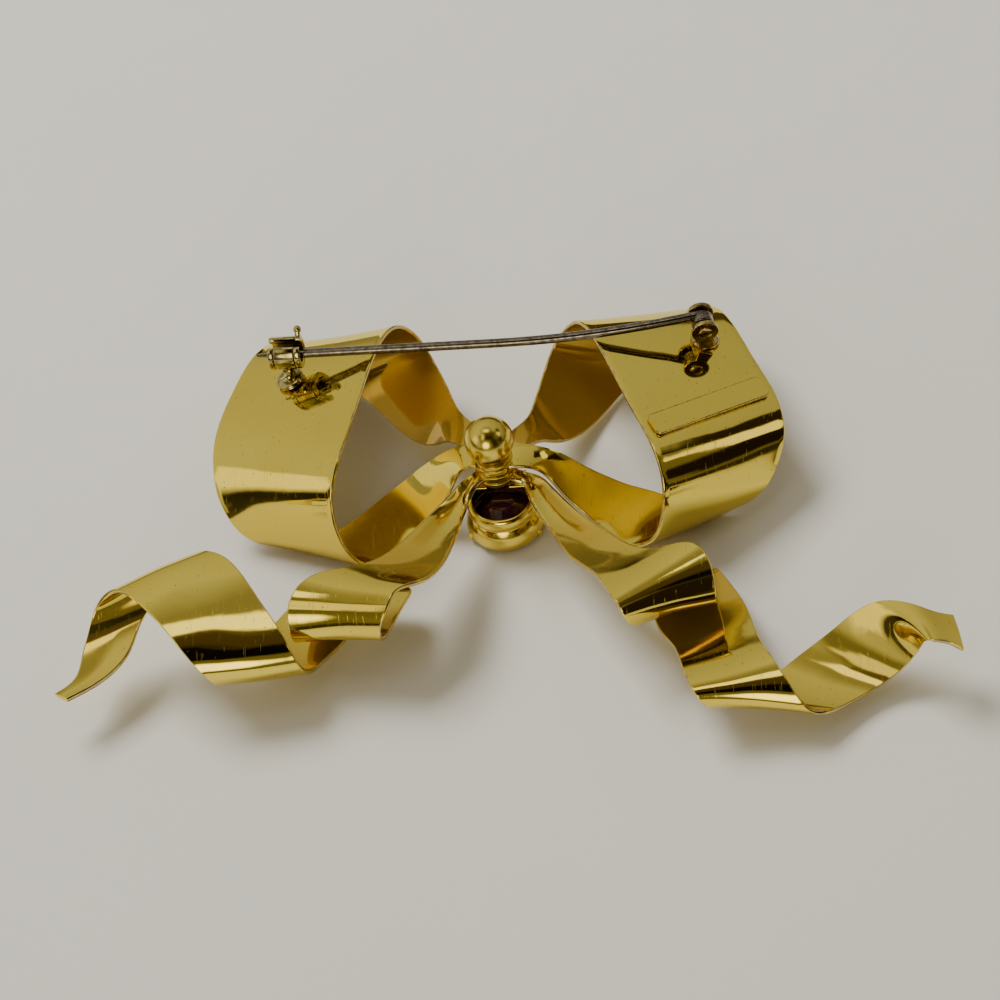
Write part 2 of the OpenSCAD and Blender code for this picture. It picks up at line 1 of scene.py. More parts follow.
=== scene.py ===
# %% [markdown]
# # A bow brooch of polished gilt ribbon, seen from behind
# The brooch lies face down. Two wide loops and two curled tails of thin sheet leave a knot, a post
# with a round head holds them, and a steel pin with a hinge and a safety catch crosses the back.
# The solids of the part come in first, as a frame that is never moved. Everything made below is
# placed by the same numbers as those solids, so it needs no fitting.

# %% Load the frame
import json, math
import bpy, bmesh
import numpy as np
from mathutils import Matrix, Vector
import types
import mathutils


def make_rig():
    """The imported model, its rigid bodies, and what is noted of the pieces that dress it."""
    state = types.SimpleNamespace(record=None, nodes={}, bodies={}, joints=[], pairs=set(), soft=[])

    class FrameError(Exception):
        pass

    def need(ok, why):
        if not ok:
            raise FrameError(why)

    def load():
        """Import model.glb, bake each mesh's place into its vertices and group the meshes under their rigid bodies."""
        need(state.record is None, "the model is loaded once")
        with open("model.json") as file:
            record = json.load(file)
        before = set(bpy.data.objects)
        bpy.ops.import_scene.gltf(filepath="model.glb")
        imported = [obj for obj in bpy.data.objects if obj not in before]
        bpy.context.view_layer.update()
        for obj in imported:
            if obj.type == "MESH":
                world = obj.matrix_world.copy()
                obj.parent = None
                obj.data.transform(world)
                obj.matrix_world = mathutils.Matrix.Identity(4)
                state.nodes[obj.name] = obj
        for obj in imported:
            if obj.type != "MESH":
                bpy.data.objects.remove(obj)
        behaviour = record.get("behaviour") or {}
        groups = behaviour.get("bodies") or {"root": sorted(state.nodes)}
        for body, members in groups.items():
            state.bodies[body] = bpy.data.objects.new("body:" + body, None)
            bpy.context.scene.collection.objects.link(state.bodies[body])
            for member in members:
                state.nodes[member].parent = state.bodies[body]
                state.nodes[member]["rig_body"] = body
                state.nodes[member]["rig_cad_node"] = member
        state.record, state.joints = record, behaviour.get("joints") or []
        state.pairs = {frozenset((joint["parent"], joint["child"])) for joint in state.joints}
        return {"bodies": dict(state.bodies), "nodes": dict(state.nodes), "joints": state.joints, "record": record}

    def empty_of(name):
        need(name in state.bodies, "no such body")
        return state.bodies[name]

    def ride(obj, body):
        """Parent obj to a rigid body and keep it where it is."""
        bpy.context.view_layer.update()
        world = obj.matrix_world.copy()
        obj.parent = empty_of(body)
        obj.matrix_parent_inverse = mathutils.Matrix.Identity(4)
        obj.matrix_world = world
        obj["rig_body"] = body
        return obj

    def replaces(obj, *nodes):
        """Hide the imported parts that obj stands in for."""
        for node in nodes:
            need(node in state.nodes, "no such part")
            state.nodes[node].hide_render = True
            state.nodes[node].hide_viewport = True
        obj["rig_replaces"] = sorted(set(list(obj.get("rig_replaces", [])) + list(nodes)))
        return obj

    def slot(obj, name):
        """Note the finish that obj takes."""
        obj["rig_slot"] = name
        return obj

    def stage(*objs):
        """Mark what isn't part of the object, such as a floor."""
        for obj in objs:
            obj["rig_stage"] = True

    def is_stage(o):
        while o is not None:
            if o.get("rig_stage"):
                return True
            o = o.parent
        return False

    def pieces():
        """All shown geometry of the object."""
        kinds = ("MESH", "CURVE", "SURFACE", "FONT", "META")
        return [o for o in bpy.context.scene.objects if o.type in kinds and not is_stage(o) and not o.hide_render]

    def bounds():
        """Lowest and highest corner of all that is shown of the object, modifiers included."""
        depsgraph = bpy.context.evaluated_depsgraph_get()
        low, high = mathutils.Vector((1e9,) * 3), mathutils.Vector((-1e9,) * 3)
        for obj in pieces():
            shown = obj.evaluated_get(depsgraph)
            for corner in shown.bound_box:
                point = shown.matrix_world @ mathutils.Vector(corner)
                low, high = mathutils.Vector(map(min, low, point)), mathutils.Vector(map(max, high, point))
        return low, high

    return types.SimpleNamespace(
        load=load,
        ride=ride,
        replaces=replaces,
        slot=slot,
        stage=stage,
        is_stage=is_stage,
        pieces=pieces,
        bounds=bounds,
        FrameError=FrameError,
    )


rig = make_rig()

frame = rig.load()
cad_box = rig.bounds()
print("bodies:", sorted(frame["bodies"]), "nodes:", len(frame["nodes"]))

# %% [markdown]
# All shapes below are worked out in millimetres from the foot of the knot's post, because a maker
# thinks in millimetres. One function turns them into metres in the part's own frame.

# %% Units and the knot's place
MM = 0.001
KNOT, UP = np.array([-1.2, 3.8, 0.0]), np.array([0, 0, 1])
rng = np.random.default_rng(7)


def to_frame(points):
    """Millimetres from the knot's foot to metres in the part's frame: add the knot's place, then scale."""
    return (np.asarray(points, float) + KNOT) * MM


BOX = np.array([tuple(corner) for corner in cad_box]) / MM - KNOT
print("knot at", to_frame([0, 0, 0]), "box in millimetres from it", np.round(BOX, 2).tolist())

# %% [markdown]
# The camera comes first, because every later choice is judged through it. The photograph looks
# down at 51 degrees from the side of the tails, a little from the right, with the camera rolled.
# The post's head is a good anchor: its middle is seen just left of and above the picture's middle.

# %% Camera
AZIMUTH, ELEVATION, ROLL = (math.radians(v) for v in (14, 51, -14))
DISTANCE, FOCAL = 280.0, 2800.0
HEAD_SEEN, HEAD_MID_Z = np.array([488.6, 440.0]), 11.3
IMAGE, SENSOR = 1000, 36


def camera_axes():
    """Back, right and up of a camera at the azimuth and elevation, then right and up turned by the roll."""
    back = np.array([math.sin(AZIMUTH) * math.cos(ELEVATION), -math.cos(AZIMUTH) * math.cos(ELEVATION),
                     math.sin(ELEVATION)])
    right = np.array([math.cos(AZIMUTH), math.sin(AZIMUTH), 0])
    up = np.cross(back, right)
    c, s = math.cos(ROLL), math.sin(ROLL)
    return right * c + up * s, up * c - right * s, back


def in_scene(name, data):
    """A new object that holds the data, linked into the scene."""
    made = bpy.data.objects.new(name, data)
    bpy.context.scene.collection.objects.link(made)
    return made


right, up, back = camera_axes()
offset = right * (HEAD_SEEN[0] - IMAGE / 2) / FOCAL + up * (IMAGE / 2 - HEAD_SEEN[1]) / FOCAL
eye = to_frame(np.array([0, 0, HEAD_MID_Z]) - DISTANCE * (offset - back))
camera = in_scene("camera", bpy.data.cameras.new("camera"))
camera.matrix_world = Matrix([*np.column_stack([right, up, back, eye]).tolist(), [0, 0, 0, 1]])
camera.data.sensor_width, camera.data.lens = SENSOR, SENSOR * FOCAL / IMAGE
camera.data.clip_start, camera.data.clip_end = 0.01, 20
bpy.context.scene.camera = camera
print("camera at", np.round(eye, 3))

# %% [markdown]
# A piece is a grid of points skinned with four-sided faces. The grid may close on itself either
# way, and its open ends may be capped. Doubled points at a pole are merged and the faces are
# turned outwards, so that a mirror finish sees one clean closed skin.

# %% Skin a grid of points
def unit(v):
    """Each vector divided by its own length."""
    return v / np.linalg.norm(v, axis=-1, keepdims=True)


def skin(grid, wrap_u=False, wrap_v=True, cap=False):
    """Quads between neighbours of a grid (u, v, 3); wrap joins the last row or column to the first.
    cap closes the first and the last row of a grid that wraps in v with one face each."""
    rows, cols = grid.shape[:2]
    u = np.arange(rows if wrap_u else rows - 1)
    v = np.arange(cols if wrap_v else cols - 1)
    a, b = np.meshgrid(u, v, indexing="ij")
    c, d = (a + 1) % rows, (b + 1) % cols
    quads = np.stack([a * cols + b, a * cols + d, c * cols + d, c * cols + b], -1).reshape(-1, 4).tolist()
    if cap:
        quads += [list(range(cols))[::-1], list(range((rows - 1) * cols, rows * cols))]
    return grid.reshape(-1, 3), quads


def piece(name, parts, body="bow", sharp=40, **attributes):
    """One object from a list of (points, faces), with its place in its mesh, merged and smooth up to
    the sharp angle. Points are held inside the solids' box, which a ripple could leave by a few
    hundredths of a millimetre."""
    points, faces, start = [], [], 0
    for p, f in parts:
        points.append(p)
        faces += [[i + start for i in face] for face in f]
        start += len(p)
    mesh = bpy.data.meshes.new(name)
    mesh.from_pydata(to_frame(np.clip(np.vstack(points), *BOX)).tolist(), [], faces)
    for key, values in attributes.items():
        mesh.attributes.new(key, "FLOAT", "POINT").data.foreach_set("value", np.asarray(values, np.float32))
    work = bmesh.new()
    work.from_mesh(mesh)
    bmesh.ops.remove_doubles(work, verts=work.verts, dist=1e-7)
    bmesh.ops.recalc_face_normals(work, faces=work.faces)
    work.to_mesh(mesh)
    work.free()
    mesh.shade_smooth()
    mesh.set_sharp_from_angle(angle=math.radians(sharp))
    made = in_scene(name, mesh)
    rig.ride(made, body)
    print(name, len(mesh.vertices), "points", len(mesh.polygons), "faces")
    return made


# %% [markdown]
# The ribbon's course is given by a few cross sections, each with a near and a far edge. The values
# are shares of the loop's reach, rise and depth. A natural cubic spline through them has no jump in
# its curvature, which matters on polished metal: a jump in curvature shows as a kink in a reflection.

# %% Sections of the four ribbons
SHEET, FILM, EYELET_R = 0.45, 0.05, 2.0
LOOP_ARM_W, TAIL_ARM_W = 3.0, 1.5
STACK_Z = 4.5 + 1.5 + FILM
LAYER_T = SHEET + FILM
LOOP = np.array([30, 20, 12] * 2)
TAIL = np.array([40, -25, 10] * 2)
shares = {}
# near edge out, up, high, then far edge out, up, high
shares["left_loop"] = [
    [0.14, 0.4, 0.52, 0.19, 0.25, 0.45], [0.19, 0.59, 0.44, 0.27, 0.33, 0.23],
    [0.23, 0.73, 0.42, 0.37, 0.48, 0.1], [0.28, 0.86, 0.52, 0.53, 0.78, 0.03],
    [0.32, 0.87, 0.75, 0.69, 0.96, 0.15], [0.36, 0.81, 0.92, 0.78, 0.99, 0.4],
    [0.4, 0.66, 1.0, 0.86, 0.87, 0.64], [0.44, 0.38, 1.0, 0.935, 0.57, 0.69],
    [0.485, 0.04, 0.98, 0.985, 0.25, 0.66], [0.515, -0.14, 0.91, 0.985, 0.07, 0.56],
    [0.535, -0.24, 0.75, 0.975, -0.02, 0.43], [0.535, -0.3, 0.46, 0.94, -0.11, 0.28],
    [0.505, -0.35, 0.2, 0.88, -0.17, 0.13], [0.42, -0.37, 0.04, 0.73, -0.18, 0.03],
    [0.35, -0.32, 0.04, 0.57, -0.1, 0.03], [0.295, -0.245, 0.08, 0.45, 0.03, 0.1],
    [0.245, -0.155, 0.15, 0.36, 0.115, 0.17], [0.19, -0.1, 0.32, 0.28, 0.12, 0.36],
    [0.145, -0.065, 0.5, 0.2, 0.1, 0.56]]
shares["right_loop"] = [
    [0.09, 0.33, 0.52, 0.15, 0.22, 0.45], [0.105, 0.45, 0.45, 0.2, 0.3, 0.24],
    [0.12, 0.58, 0.42, 0.29, 0.46, 0.09], [0.165, 0.8, 0.52, 0.42, 0.78, 0.03],
    [0.23, 0.82, 0.75, 0.59, 1.0, 0.15], [0.285, 0.76, 0.92, 0.68, 1.06, 0.4],
    [0.35, 0.58, 1.0, 0.765, 0.94, 0.62], [0.42, 0.33, 1.0, 0.86, 0.62, 0.67],
    [0.51, 0.02, 0.98, 0.945, 0.35, 0.64], [0.565, -0.17, 0.91, 0.975, 0.16, 0.55],
    [0.58, -0.28, 0.75, 0.96, 0.08, 0.43], [0.56, -0.33, 0.46, 0.92, -0.03, 0.29],
    [0.525, -0.33, 0.2, 0.85, -0.09, 0.15], [0.455, -0.305, 0.04, 0.7, -0.09, 0.03],
    [0.405, -0.27, 0.04, 0.53, 0.035, 0.03], [0.335, -0.19, 0.08, 0.44, 0.06, 0.1],
    [0.285, -0.135, 0.15, 0.39, 0.07, 0.17], [0.215, -0.075, 0.32, 0.285, 0.08, 0.38],
    [0.165, -0.03, 0.51, 0.21, 0.09, 0.56]]
# near edge out, down, high, then far edge out, down, high
shares["left_tail"] = [
    [0.088, 0.05, 0.64, 0.055, 0.096, 0.65],
    [0.108, 0.093, 0.63, 0.07, 0.15, 0.59], [0.168, 0.228, 0.67, 0.088, 0.305, 0.63],
    [0.27, 0.47, 0.8, 0.11, 0.52, 0.8], [0.36, 0.55, 0.93, 0.155, 0.635, 0.93],
    [0.44, 0.6, 0.98, 0.21, 0.68, 0.98], [0.48, 0.7, 0.93, 0.23, 0.755, 0.93],
    [0.485, 0.755, 0.8, 0.25, 0.795, 0.8], [0.48, 0.79, 0.6, 0.255, 0.805, 0.6],
    [0.48, 0.7, 0.45, 0.24, 0.69, 0.45], [0.46, 0.56, 0.38, 0.215, 0.55, 0.38],
    [0.45, 0.46, 0.32, 0.21, 0.48, 0.32], [0.5, 0.49, 0.26, 0.28, 0.51, 0.26],
    [0.545, 0.57, 0.24, 0.37, 0.7, 0.24], [0.62, 0.75, 0.26, 0.43, 0.82, 0.26],
    [0.665, 0.92, 0.4, 0.445, 0.885, 0.4], [0.68, 0.96, 0.62, 0.46, 0.905, 0.62],
    [0.72, 0.92, 0.8, 0.49, 0.825, 0.8], [0.77, 0.83, 0.93, 0.55, 0.69, 0.93],
    [0.855, 0.69, 1.0, 0.63, 0.51, 1.0], [0.915, 0.615, 0.98, 0.7, 0.44, 0.98],
    [0.96, 0.605, 0.86, 0.765, 0.45, 0.86], [0.995, 0.625, 0.7, 0.82, 0.54, 0.7],
    [1.015, 0.71, 0.55, 0.88, 0.64, 0.55], [1.025, 0.785, 0.5, 0.9, 0.78, 0.5],
    [1.035, 0.89, 0.46, 0.97, 0.91, 0.46], [1.08, 0.96, 0.48, 1.045, 0.99, 0.48]]
shares["right_tail"] = [
    [0.072, 0.065, 0.61, 0.105, 0.027, 0.615],
    [0.088, 0.135, 0.575, 0.136, 0.073, 0.61], [0.145, 0.295, 0.55, 0.2175, 0.232, 0.615],
    [0.2, 0.48, 0.7, 0.305, 0.375, 0.7], [0.28, 0.63, 0.86, 0.42, 0.515, 0.86],
    [0.31, 0.73, 0.93, 0.5, 0.5, 0.93], [0.33, 0.78, 0.93, 0.54, 0.55, 0.93],
    [0.345, 0.815, 0.8, 0.56, 0.65, 0.8], [0.36, 0.79, 0.6, 0.56, 0.69, 0.6],
    [0.375, 0.7, 0.44, 0.555, 0.63, 0.44], [0.385, 0.59, 0.34, 0.54, 0.49, 0.34],
    [0.39, 0.575, 0.26, 0.545, 0.425, 0.26], [0.4, 0.675, 0.24, 0.58, 0.49, 0.24],
    [0.44, 0.8, 0.34, 0.63, 0.655, 0.34], [0.47, 0.93, 0.5, 0.66, 0.845, 0.5],
    [0.49, 1.055, 0.6, 0.69, 0.955, 0.6], [0.515, 1.125, 0.56, 0.73, 1.07, 0.56],
    [0.545, 1.115, 0.36, 0.78, 1.155, 0.36], [0.63, 1.03, 0.2, 0.86, 1.095, 0.2],
    [0.74, 0.87, 0.2, 0.965, 0.985, 0.2], [0.85, 0.775, 0.4, 1.03, 0.93, 0.4],
    [0.95, 0.74, 0.66, 1.055, 0.935, 0.66], [1.03, 0.795, 0.74, 1.07, 0.965, 0.74],
    [1.07, 0.82, 0.7, 1.1, 0.96, 0.7], [1.12, 0.825, 0.64, 1.14, 0.985, 0.64]]
print("sections:", {name: len(rows) for name, rows in shares.items()})

# %% [markdown]
# An arm leaves its round end level and square to its own direction. The section there is worked
# out from the first free section, so the ribbon always leaves the knot without a twist.

# %% From shares to the full list of sections
def knot_section(first, layer, r, width):
    """Two edge points at radius r towards the middle of a section, half the width to each side, on
    the layer's height."""
    mid = (first[:3] + first[3:]) / 2
    way = unit(mid[:2])
    across = np.array([-way[1], way[0]])
    across *= np.sign((first[:2] - mid[:2]) @ across) * width / 2
    z = STACK_Z + layer * LAYER_T + SHEET / 2
    return np.array([*(r * way + across), z, *(r * way - across), z])


def sections(rows, side, size, layers, width):
    """Shares times sizes, mirrored by side, with level sections added at the knot."""
    rows = np.array(rows) * size * ([side, 1, 1] * 2)
    ends = [(rows[0], layers[0])] + [(rows[-1], k) for k in layers[1:]]
    pairs = [[knot_section(f, k, r, width) for r in (EYELET_R - SHEET, EYELET_R + SHEET)] for f, k in ends]
    rows = np.vstack([pairs[0], rows])
    return np.vstack([rows, pairs[1][::-1]]) if len(pairs) > 1 else rows


def spline(t, rows, at):
    """Natural cubic spline: one linear system gives the bending at each section, and a cubic joins
    each pair."""
    n, h = len(t), np.diff(t)
    system, drive = np.eye(n), np.zeros_like(rows)
    i = np.arange(1, n - 1)
    system[i, i - 1], system[i, i], system[i, i + 1] = h[:-1], 2 * (h[:-1] + h[1:]), h[1:]
    slopes = np.diff(rows, axis=0) / h[:, None]
    drive[1:-1] = 6 * np.diff(slopes, axis=0)
    bend = np.linalg.solve(system, drive)
    k = np.clip(np.searchsorted(t, at, side="right") - 1, 0, n - 2)
    a, b, w = (at - t[k])[:, None], (t[k + 1] - at)[:, None], h[k][:, None]
    return ((bend[k] * b**3 + bend[k + 1] * a**3) / (6 * w)
            + (rows[k] / w - bend[k] * w / 6) * b + (rows[k + 1] / w - bend[k + 1] * w / 6) * a)


def ease(rows, passes):
    """Each inner row moves to half of itself and a quarter of each neighbour, again and again."""
    rows = rows.copy()
    for _ in range(passes):
        rows[2:-2] = (rows[1:-3] + 2 * rows[2:-2] + rows[3:-1]) / 4
    return rows


PER_SECTION, PASSES = 12, 24


def course(rows):
    """Near and far edge at even steps between sections, by the mean length of the ribbon's two edges."""
    near, far = (np.linalg.norm(np.diff(rows[:, k:k + 3], axis=0), axis=1) for k in (0, 3))
    t = np.concatenate([[0], np.cumsum((near + far) / 2)])
    at = np.interp(np.arange((len(rows) - 1) * PER_SECTION + 1) / PER_SECTION, np.arange(len(rows)), t)
    return ease(spline(t, rows, at), PASSES)


layers = {"left_loop": [3, 5], "right_loop": [2, 4], "left_tail": [1], "right_tail": [0]}
bent = {}
for name, rows in shares.items():
    size, width = (LOOP, LOOP_ARM_W) if "loop" in name else (TAIL, TAIL_ARM_W)
    bent[name] = sections(rows, -1 if "left" in name else 1, size, layers[name], width)
courses = {name: course(rows) for name, rows in bent.items()}
print({name: edges.shape for name, edges in courses.items()})

# %% [markdown]
# Real ribbon of sheet metal is bent by hand over a rod. It is never truly flat: it has a slight
# crown across its width and shallow waves that make its reflections swim. Both are worked into the
# surface here, because a bump in the material would bend the light without bending the shape.

# %% Sheet along a course
SHEET_SOFT, ACROSS, WAVES = 0.16, 24, 14
waves = unit(rng.normal(size=(WAVES, 3)))
waves *= 2 * np.pi / rng.uniform(5, 14, WAVES)[:, None]
phases = rng.uniform(0, 2 * np.pi, WAVES)


def ripple(points, height):
    """Twice the mean of sine waves 5 to 14 mm long in drawn directions, times the height."""
    return height * np.sin(points @ waves.T + phases).mean(-1) * 2


def sheet_rim(count=15, soft=SHEET_SOFT, thick=SHEET):
    """Closed outline of the sheet's section: share across, step outwards (less than none is an inset),
    and height, with rounded corners."""
    flat = (1 - np.cos(np.linspace(0, np.pi, count))) / 2
    turn = np.linspace(0, np.pi / 2, 4)
    high = thick / 2
    top = [(s, 0, high) for s in flat[1:-1]]
    far = [(1, -soft * (1 - math.sin(a)), high - soft * (1 - math.cos(a))) for a in turn]
    far += [(1, -soft * (1 - math.cos(a)), -high + soft * (1 - math.sin(a))) for a in turn]
    near = [(1 - s, i, -z) for s, i, z in far]
    return np.array(near[4:] + top + far + [(s, 0, -high) for s in flat[1:-1][::-1]] + near[:4])


def normals(surface):
    """Unit normals of a grid of points: the slope along it crossed with the slope across."""
    return unit(np.cross(np.gradient(surface, axis=0), np.gradient(surface, axis=1)))


def sheet_surface(edges, rim, crown, wave, power=2.0):
    """Middle sheet between two edges, crowned across, moved along its normal by the rim's height and
    along its width by the rim's step. The crown is full in the middle and falls with the distance
    from there to the power: 2 is an arch, less is a fold."""
    near, far = edges[:, None, :3], edges[:, None, 3:]
    share = np.linspace(0, 1, ACROSS + 1)[None, :, None]
    middle = near + (far - near) * share
    rise = np.reshape(crown, (-1, 1, 1)) * (1 - np.abs(2 * share - 1)**power)
    middle = middle + normals(middle) * (rise + ripple(middle, wave)[..., None])
    normal = normals(middle)
    s = rim[:, 0] * ACROSS
    k = np.clip(s.astype(int), 0, ACROSS - 1)
    f = (s - k)[None, :, None]
    base = middle[:, k] * (1 - f) + middle[:, k + 1] * f
    n = normal[:, k] * (1 - f) + normal[:, k + 1] * f
    width = np.linalg.norm(far - near, axis=-1, keepdims=True)
    out = (far - near) / width * np.where(rim[:, 0] > 0.5, 1, -1)[None, :, None]
    grid = base + n * rim[None, :, 2:3] + out * rim[None, :, 1:2]
    edge = (np.minimum(rim[:, 0], 1 - rim[:, 0])[None, :] * width[..., 0]) - rim[None, :, 1]
    return grid, edge


# %% [markdown]
# Each ribbon ends in a round washer that the post goes through. It is a ring turned on a lathe: a
# rounded section carried round the post's axis.

# %% Turned pieces
def rounded(corners, r, steps=4):
    """A closed outline with each corner replaced by a short quadratic curve that starts r before it
    and ends r after it. r is one size for all corners or a list with one for each."""
    c = np.array(corners, float)
    r = np.ones((len(c), 1)) * np.reshape(r, (-1, 1))
    before, after = np.roll(c, 1, 0) - c, np.roll(c, -1, 0) - c
    lb, la = np.linalg.norm(before, axis=1, keepdims=True), np.linalg.norm(after, axis=1, keepdims=True)
    a, b = c + before / lb * np.minimum(r, lb * 0.45), c + after / la * np.minimum(r, la * 0.45)
    t = np.linspace(0, 1, steps + 1)[None, :, None]
    return ((1 - t)**2 * a[:, None] + 2 * t * (1 - t) * c[:, None] + t**2 * b[:, None]).reshape(-1, 2)


def block(low_x, high_x, low_y, high_y):
    """The four corners of an upright rectangle."""
    return [[low_x, low_y], [high_x, low_y], [high_x, high_y], [low_x, high_y]]


def lathe(outline, at=(0, 0, 0), x=(1, 0, 0), z=UP, steps=96, closed=True):
    """An outline of (radius, height) carried once round the axis z through the point at."""
    x, z = unit(np.array(x, float)), unit(np.array(z, float))
    a = np.radians(360 * np.arange(steps) / steps)[:, None, None]
    o = np.array(outline)[None]
    grid = np.array(at) + (np.cos(a) * x + np.sin(a) * np.cross(z, x)) * o[..., :1] + z * o[..., 1:]
    return skin(grid, wrap_u=True, wrap_v=closed)


POST_R, PROUD, HAND_CUT = 0.8, 0.02, 0.12
HOLE_R = POST_R + FILM
HEAD_R, COLLAR_R, COLLAR_T = 2.5, 1.6, 0.5
COLLAR_Z = STACK_Z + 6 * LAYER_T
HEAD_Z = COLLAR_Z + COLLAR_T + 0.7 * HEAD_R


def washer(layer):
    """The round end of a ribbon on one layer of the stack, a little proud of the sheet and soft along
    its back edge. Each second one is a little smaller, as hand-cut ends are."""
    low = STACK_Z + layer * LAYER_T - PROUD
    outline = block(HOLE_R, EYELET_R - HAND_CUT * (layer % 2), low, low + SHEET + 2 * PROUD)
    return lathe(rounded(outline, [0.05, 0.03, 0.14, 0.05], 6))


def arm_crown(name, at_knot, deep, after):
    """The crown at each step of a tail: flat at the knot, deep along the arm, and shallow from the
    first band on."""
    section = np.arange(len(courses[name])) / PER_SECTION
    between = 0.6 * deep + 0.4 * after
    return np.interp(section, [0, 1, 2, 3.4, 4.6, 5.6], [0, at_knot, deep, deep, between, after])


def spine(edges):
    """The course's middle line, and its unit normals: the line's direction crossed with the width."""
    middle = (edges[:, :3] + edges[:, 3:]) / 2
    return middle, unit(np.cross(np.gradient(middle, axis=0), edges[:, 3:] - edges[:, :3]))


def hollow_side(edges, rim, centre=None, reach=PER_SECTION):
    """1 on the side of the sheet that faces the hollow of its bend and 0 on the other. The hollow lies
    along the way from a step to the centre, or, with no centre, to the middle between the steps that
    are a reach before and after. It is the hyperbolic tangent of that way's share along the normal."""
    middle, normal = spine(edges)
    step = np.arange(len(middle))
    chord = (middle[np.maximum(step - reach, 0)] + middle[np.minimum(step + reach, step[-1])]) / 2
    toward = (chord if centre is None else centre) - middle
    facing = np.tanh((normal * toward).sum(1) / 0.3)
    return np.clip(facing[:, None] * np.sign(rim[:, 2])[None, :], 0, 1)


def painted_shade_share(name, edges, rim):
    """How much painted shade is laid on, a dark amber that stands in for the shade and the gold-in-gold
    reflections of hollows: inside a loop's upper arm, under the left loop's roll, in a tail's hollows,
    and in a channel along a tail's arm, which is full between shares 0.15 and 0.45 from the arm's
    upper edge."""
    section = np.arange(len(edges)) / PER_SECTION
    if "loop" in name:
        much = np.interp(section, [0, 8, 9.5], [1, 1, 0])
        inner = hollow_side(edges, rim, edges.reshape(-1, 3).mean(0))
        # painted shade under the left loop's roll, where it darkens the roll's reflection of the floor
        under = np.interp(section, [11.5, 13.5, 16], [0, 0.3, 0.3]) * (name == "left_loop")
        return inner * much[:, None] + (1 - inner) * under[:, None]
    much = np.interp(section, [3.6, 4.8, 13, 15, 18, 20], [0, 1, 1, 0.7, 0.7, 0.2])
    upward = np.sign(spine(edges)[1][:, 2:] * rim[None, :, 2])
    from_top = rim[:, 0] if name == "left_tail" else 1 - rim[:, 0]
    # painted shade along the channel on a tail's arm, on the side of the sheet that faces up
    channel = np.interp(from_top, [0.05, 0.15, 0.45, 0.6], [0, 1, 1, 0])[None] * np.clip(upward, 0, 1)
    along_arm = np.interp(section, [0.5, 1.5, 4.4, 5.2], [0, 0.85, 0.85, 0])[:, None]
    return np.maximum(hollow_side(edges, rim) * much[:, None], channel * along_arm)


# the washers take half of the painted shade, for the shade in the stack at the knot
ARCH, FOLD, WASHER_PAINTED_SHADE = 2.0, 1.5, 0.5
shaping = {
    "left_loop": (0.12, 0.035, ARCH),
    "right_loop": (0.12, 0.055, ARCH),
    "left_tail": (arm_crown("left_tail", -0.2, -0.55, -0.15), 0.055, FOLD),
    "right_tail": (arm_crown("right_tail", -0.25, -0.65, -0.15), 0.055, FOLD),
}
ribbons = {}
for name, (crown, wave, power) in shaping.items():
    grid, edge = sheet_surface(courses[name], sheet_rim(), crown, wave, power)
    washers = [washer(k) for k in layers[name]]
    parts = [skin(grid, cap=True)] + washers
    ends = np.ones(sum(len(points) for points, faces in washers))
    kept = painted_shade_share(name, courses[name], sheet_rim())
    ribbons[name] = piece(name + "_ribbon", parts, edge=np.concatenate([edge.ravel(), ends]),
                          amber=np.concatenate([kept.ravel(), ends * WASHER_PAINTED_SHADE]))
    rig.replaces(ribbons[name], name)
    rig.slot(ribbons[name], "ribbon_gilt")

# %% [markdown]
# The head is a ball with its underside cut flat, and the collar under it is a turned ring that is
# painted darker all round as painted shade between the head and the stack. Their outlines are short
# lists of radius and height, and only the arc of the ball is worked out.

# %% Collar and post
COLLAR_PAINTED_SHADE, POST_END_Z = 0.6, 4.55
ring = lathe(rounded(block(HOLE_R, COLLAR_R, COLLAR_Z, COLLAR_Z + COLLAR_T), 0.3, 6))
# painted shade on the collar, the same share all round
collar = piece("collar_ring", [ring], amber=np.full(len(ring[0]), COLLAR_PAINTED_SHADE))
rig.replaces(collar, "knot_collar")
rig.slot(collar, "knot_gilt")


def arc(r, start, end, count, mid_y=0):
    """Points of a circle of radius r round (0, mid_y), from one angle to another in degrees."""
    a = np.radians(np.linspace(start, end, count))
    return np.stack([r * np.cos(a), mid_y + r * np.sin(a)], 1)


def ball_outline(r, z, cut_z):
    """The right side of a circle round the height z, from the top pole down to the cut."""
    return arc(r, 90, math.degrees(math.asin((cut_z - z) / r)), 40, z)


ball = ball_outline(HEAD_R, HEAD_Z, COLLAR_Z + COLLAR_T + FILM)
cut_r, cut_z = ball[-1]
shaft = [[cut_r - 0.15, cut_z], [POST_R, cut_z], [POST_R, POST_END_Z + 0.05],
         [POST_R - 0.05, POST_END_Z], [0, POST_END_Z]]
post = piece("post", [lathe(np.vstack([[[0, ball[0, 1]]], ball[1:], shaft]), closed=False)])
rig.replaces(post, "knot_post")
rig.slot(post, "knot_gilt")

# %% [markdown]
# The stone sits in an open collet, a short tube that is flared at the front and rolled at the back.
# Four claws hold the stone, and a strap across the collet's back takes the post.

# %% Collet, claws and bridge
STONE_AT = np.array([0.3, -1.9, 0])
RIM_R, RIM_T, RIM_Z = 3.0, 0.35, 4.5


def cubic(a, b, c, d, t):
    """From b to c as t goes from 0 to 1, with the slope of the neighbours' chord at both ends."""
    return 0.5 * (2 * b + (c - a) * t + (2 * a - 5 * b + 4 * c - d) * t**2
                  + (3 * b - a - 3 * c + d) * t**3)


def smooth_loop(points, steps=6):
    """Closed curve through the points, with one cubic between each point and the next."""
    p = np.array(points, float)
    t = (np.arange(steps) / steps)[None, :, None]
    return cubic(*(np.roll(p, k, 0)[:, None] for k in (1, 0, -1, -2)), t).reshape(-1, 2)


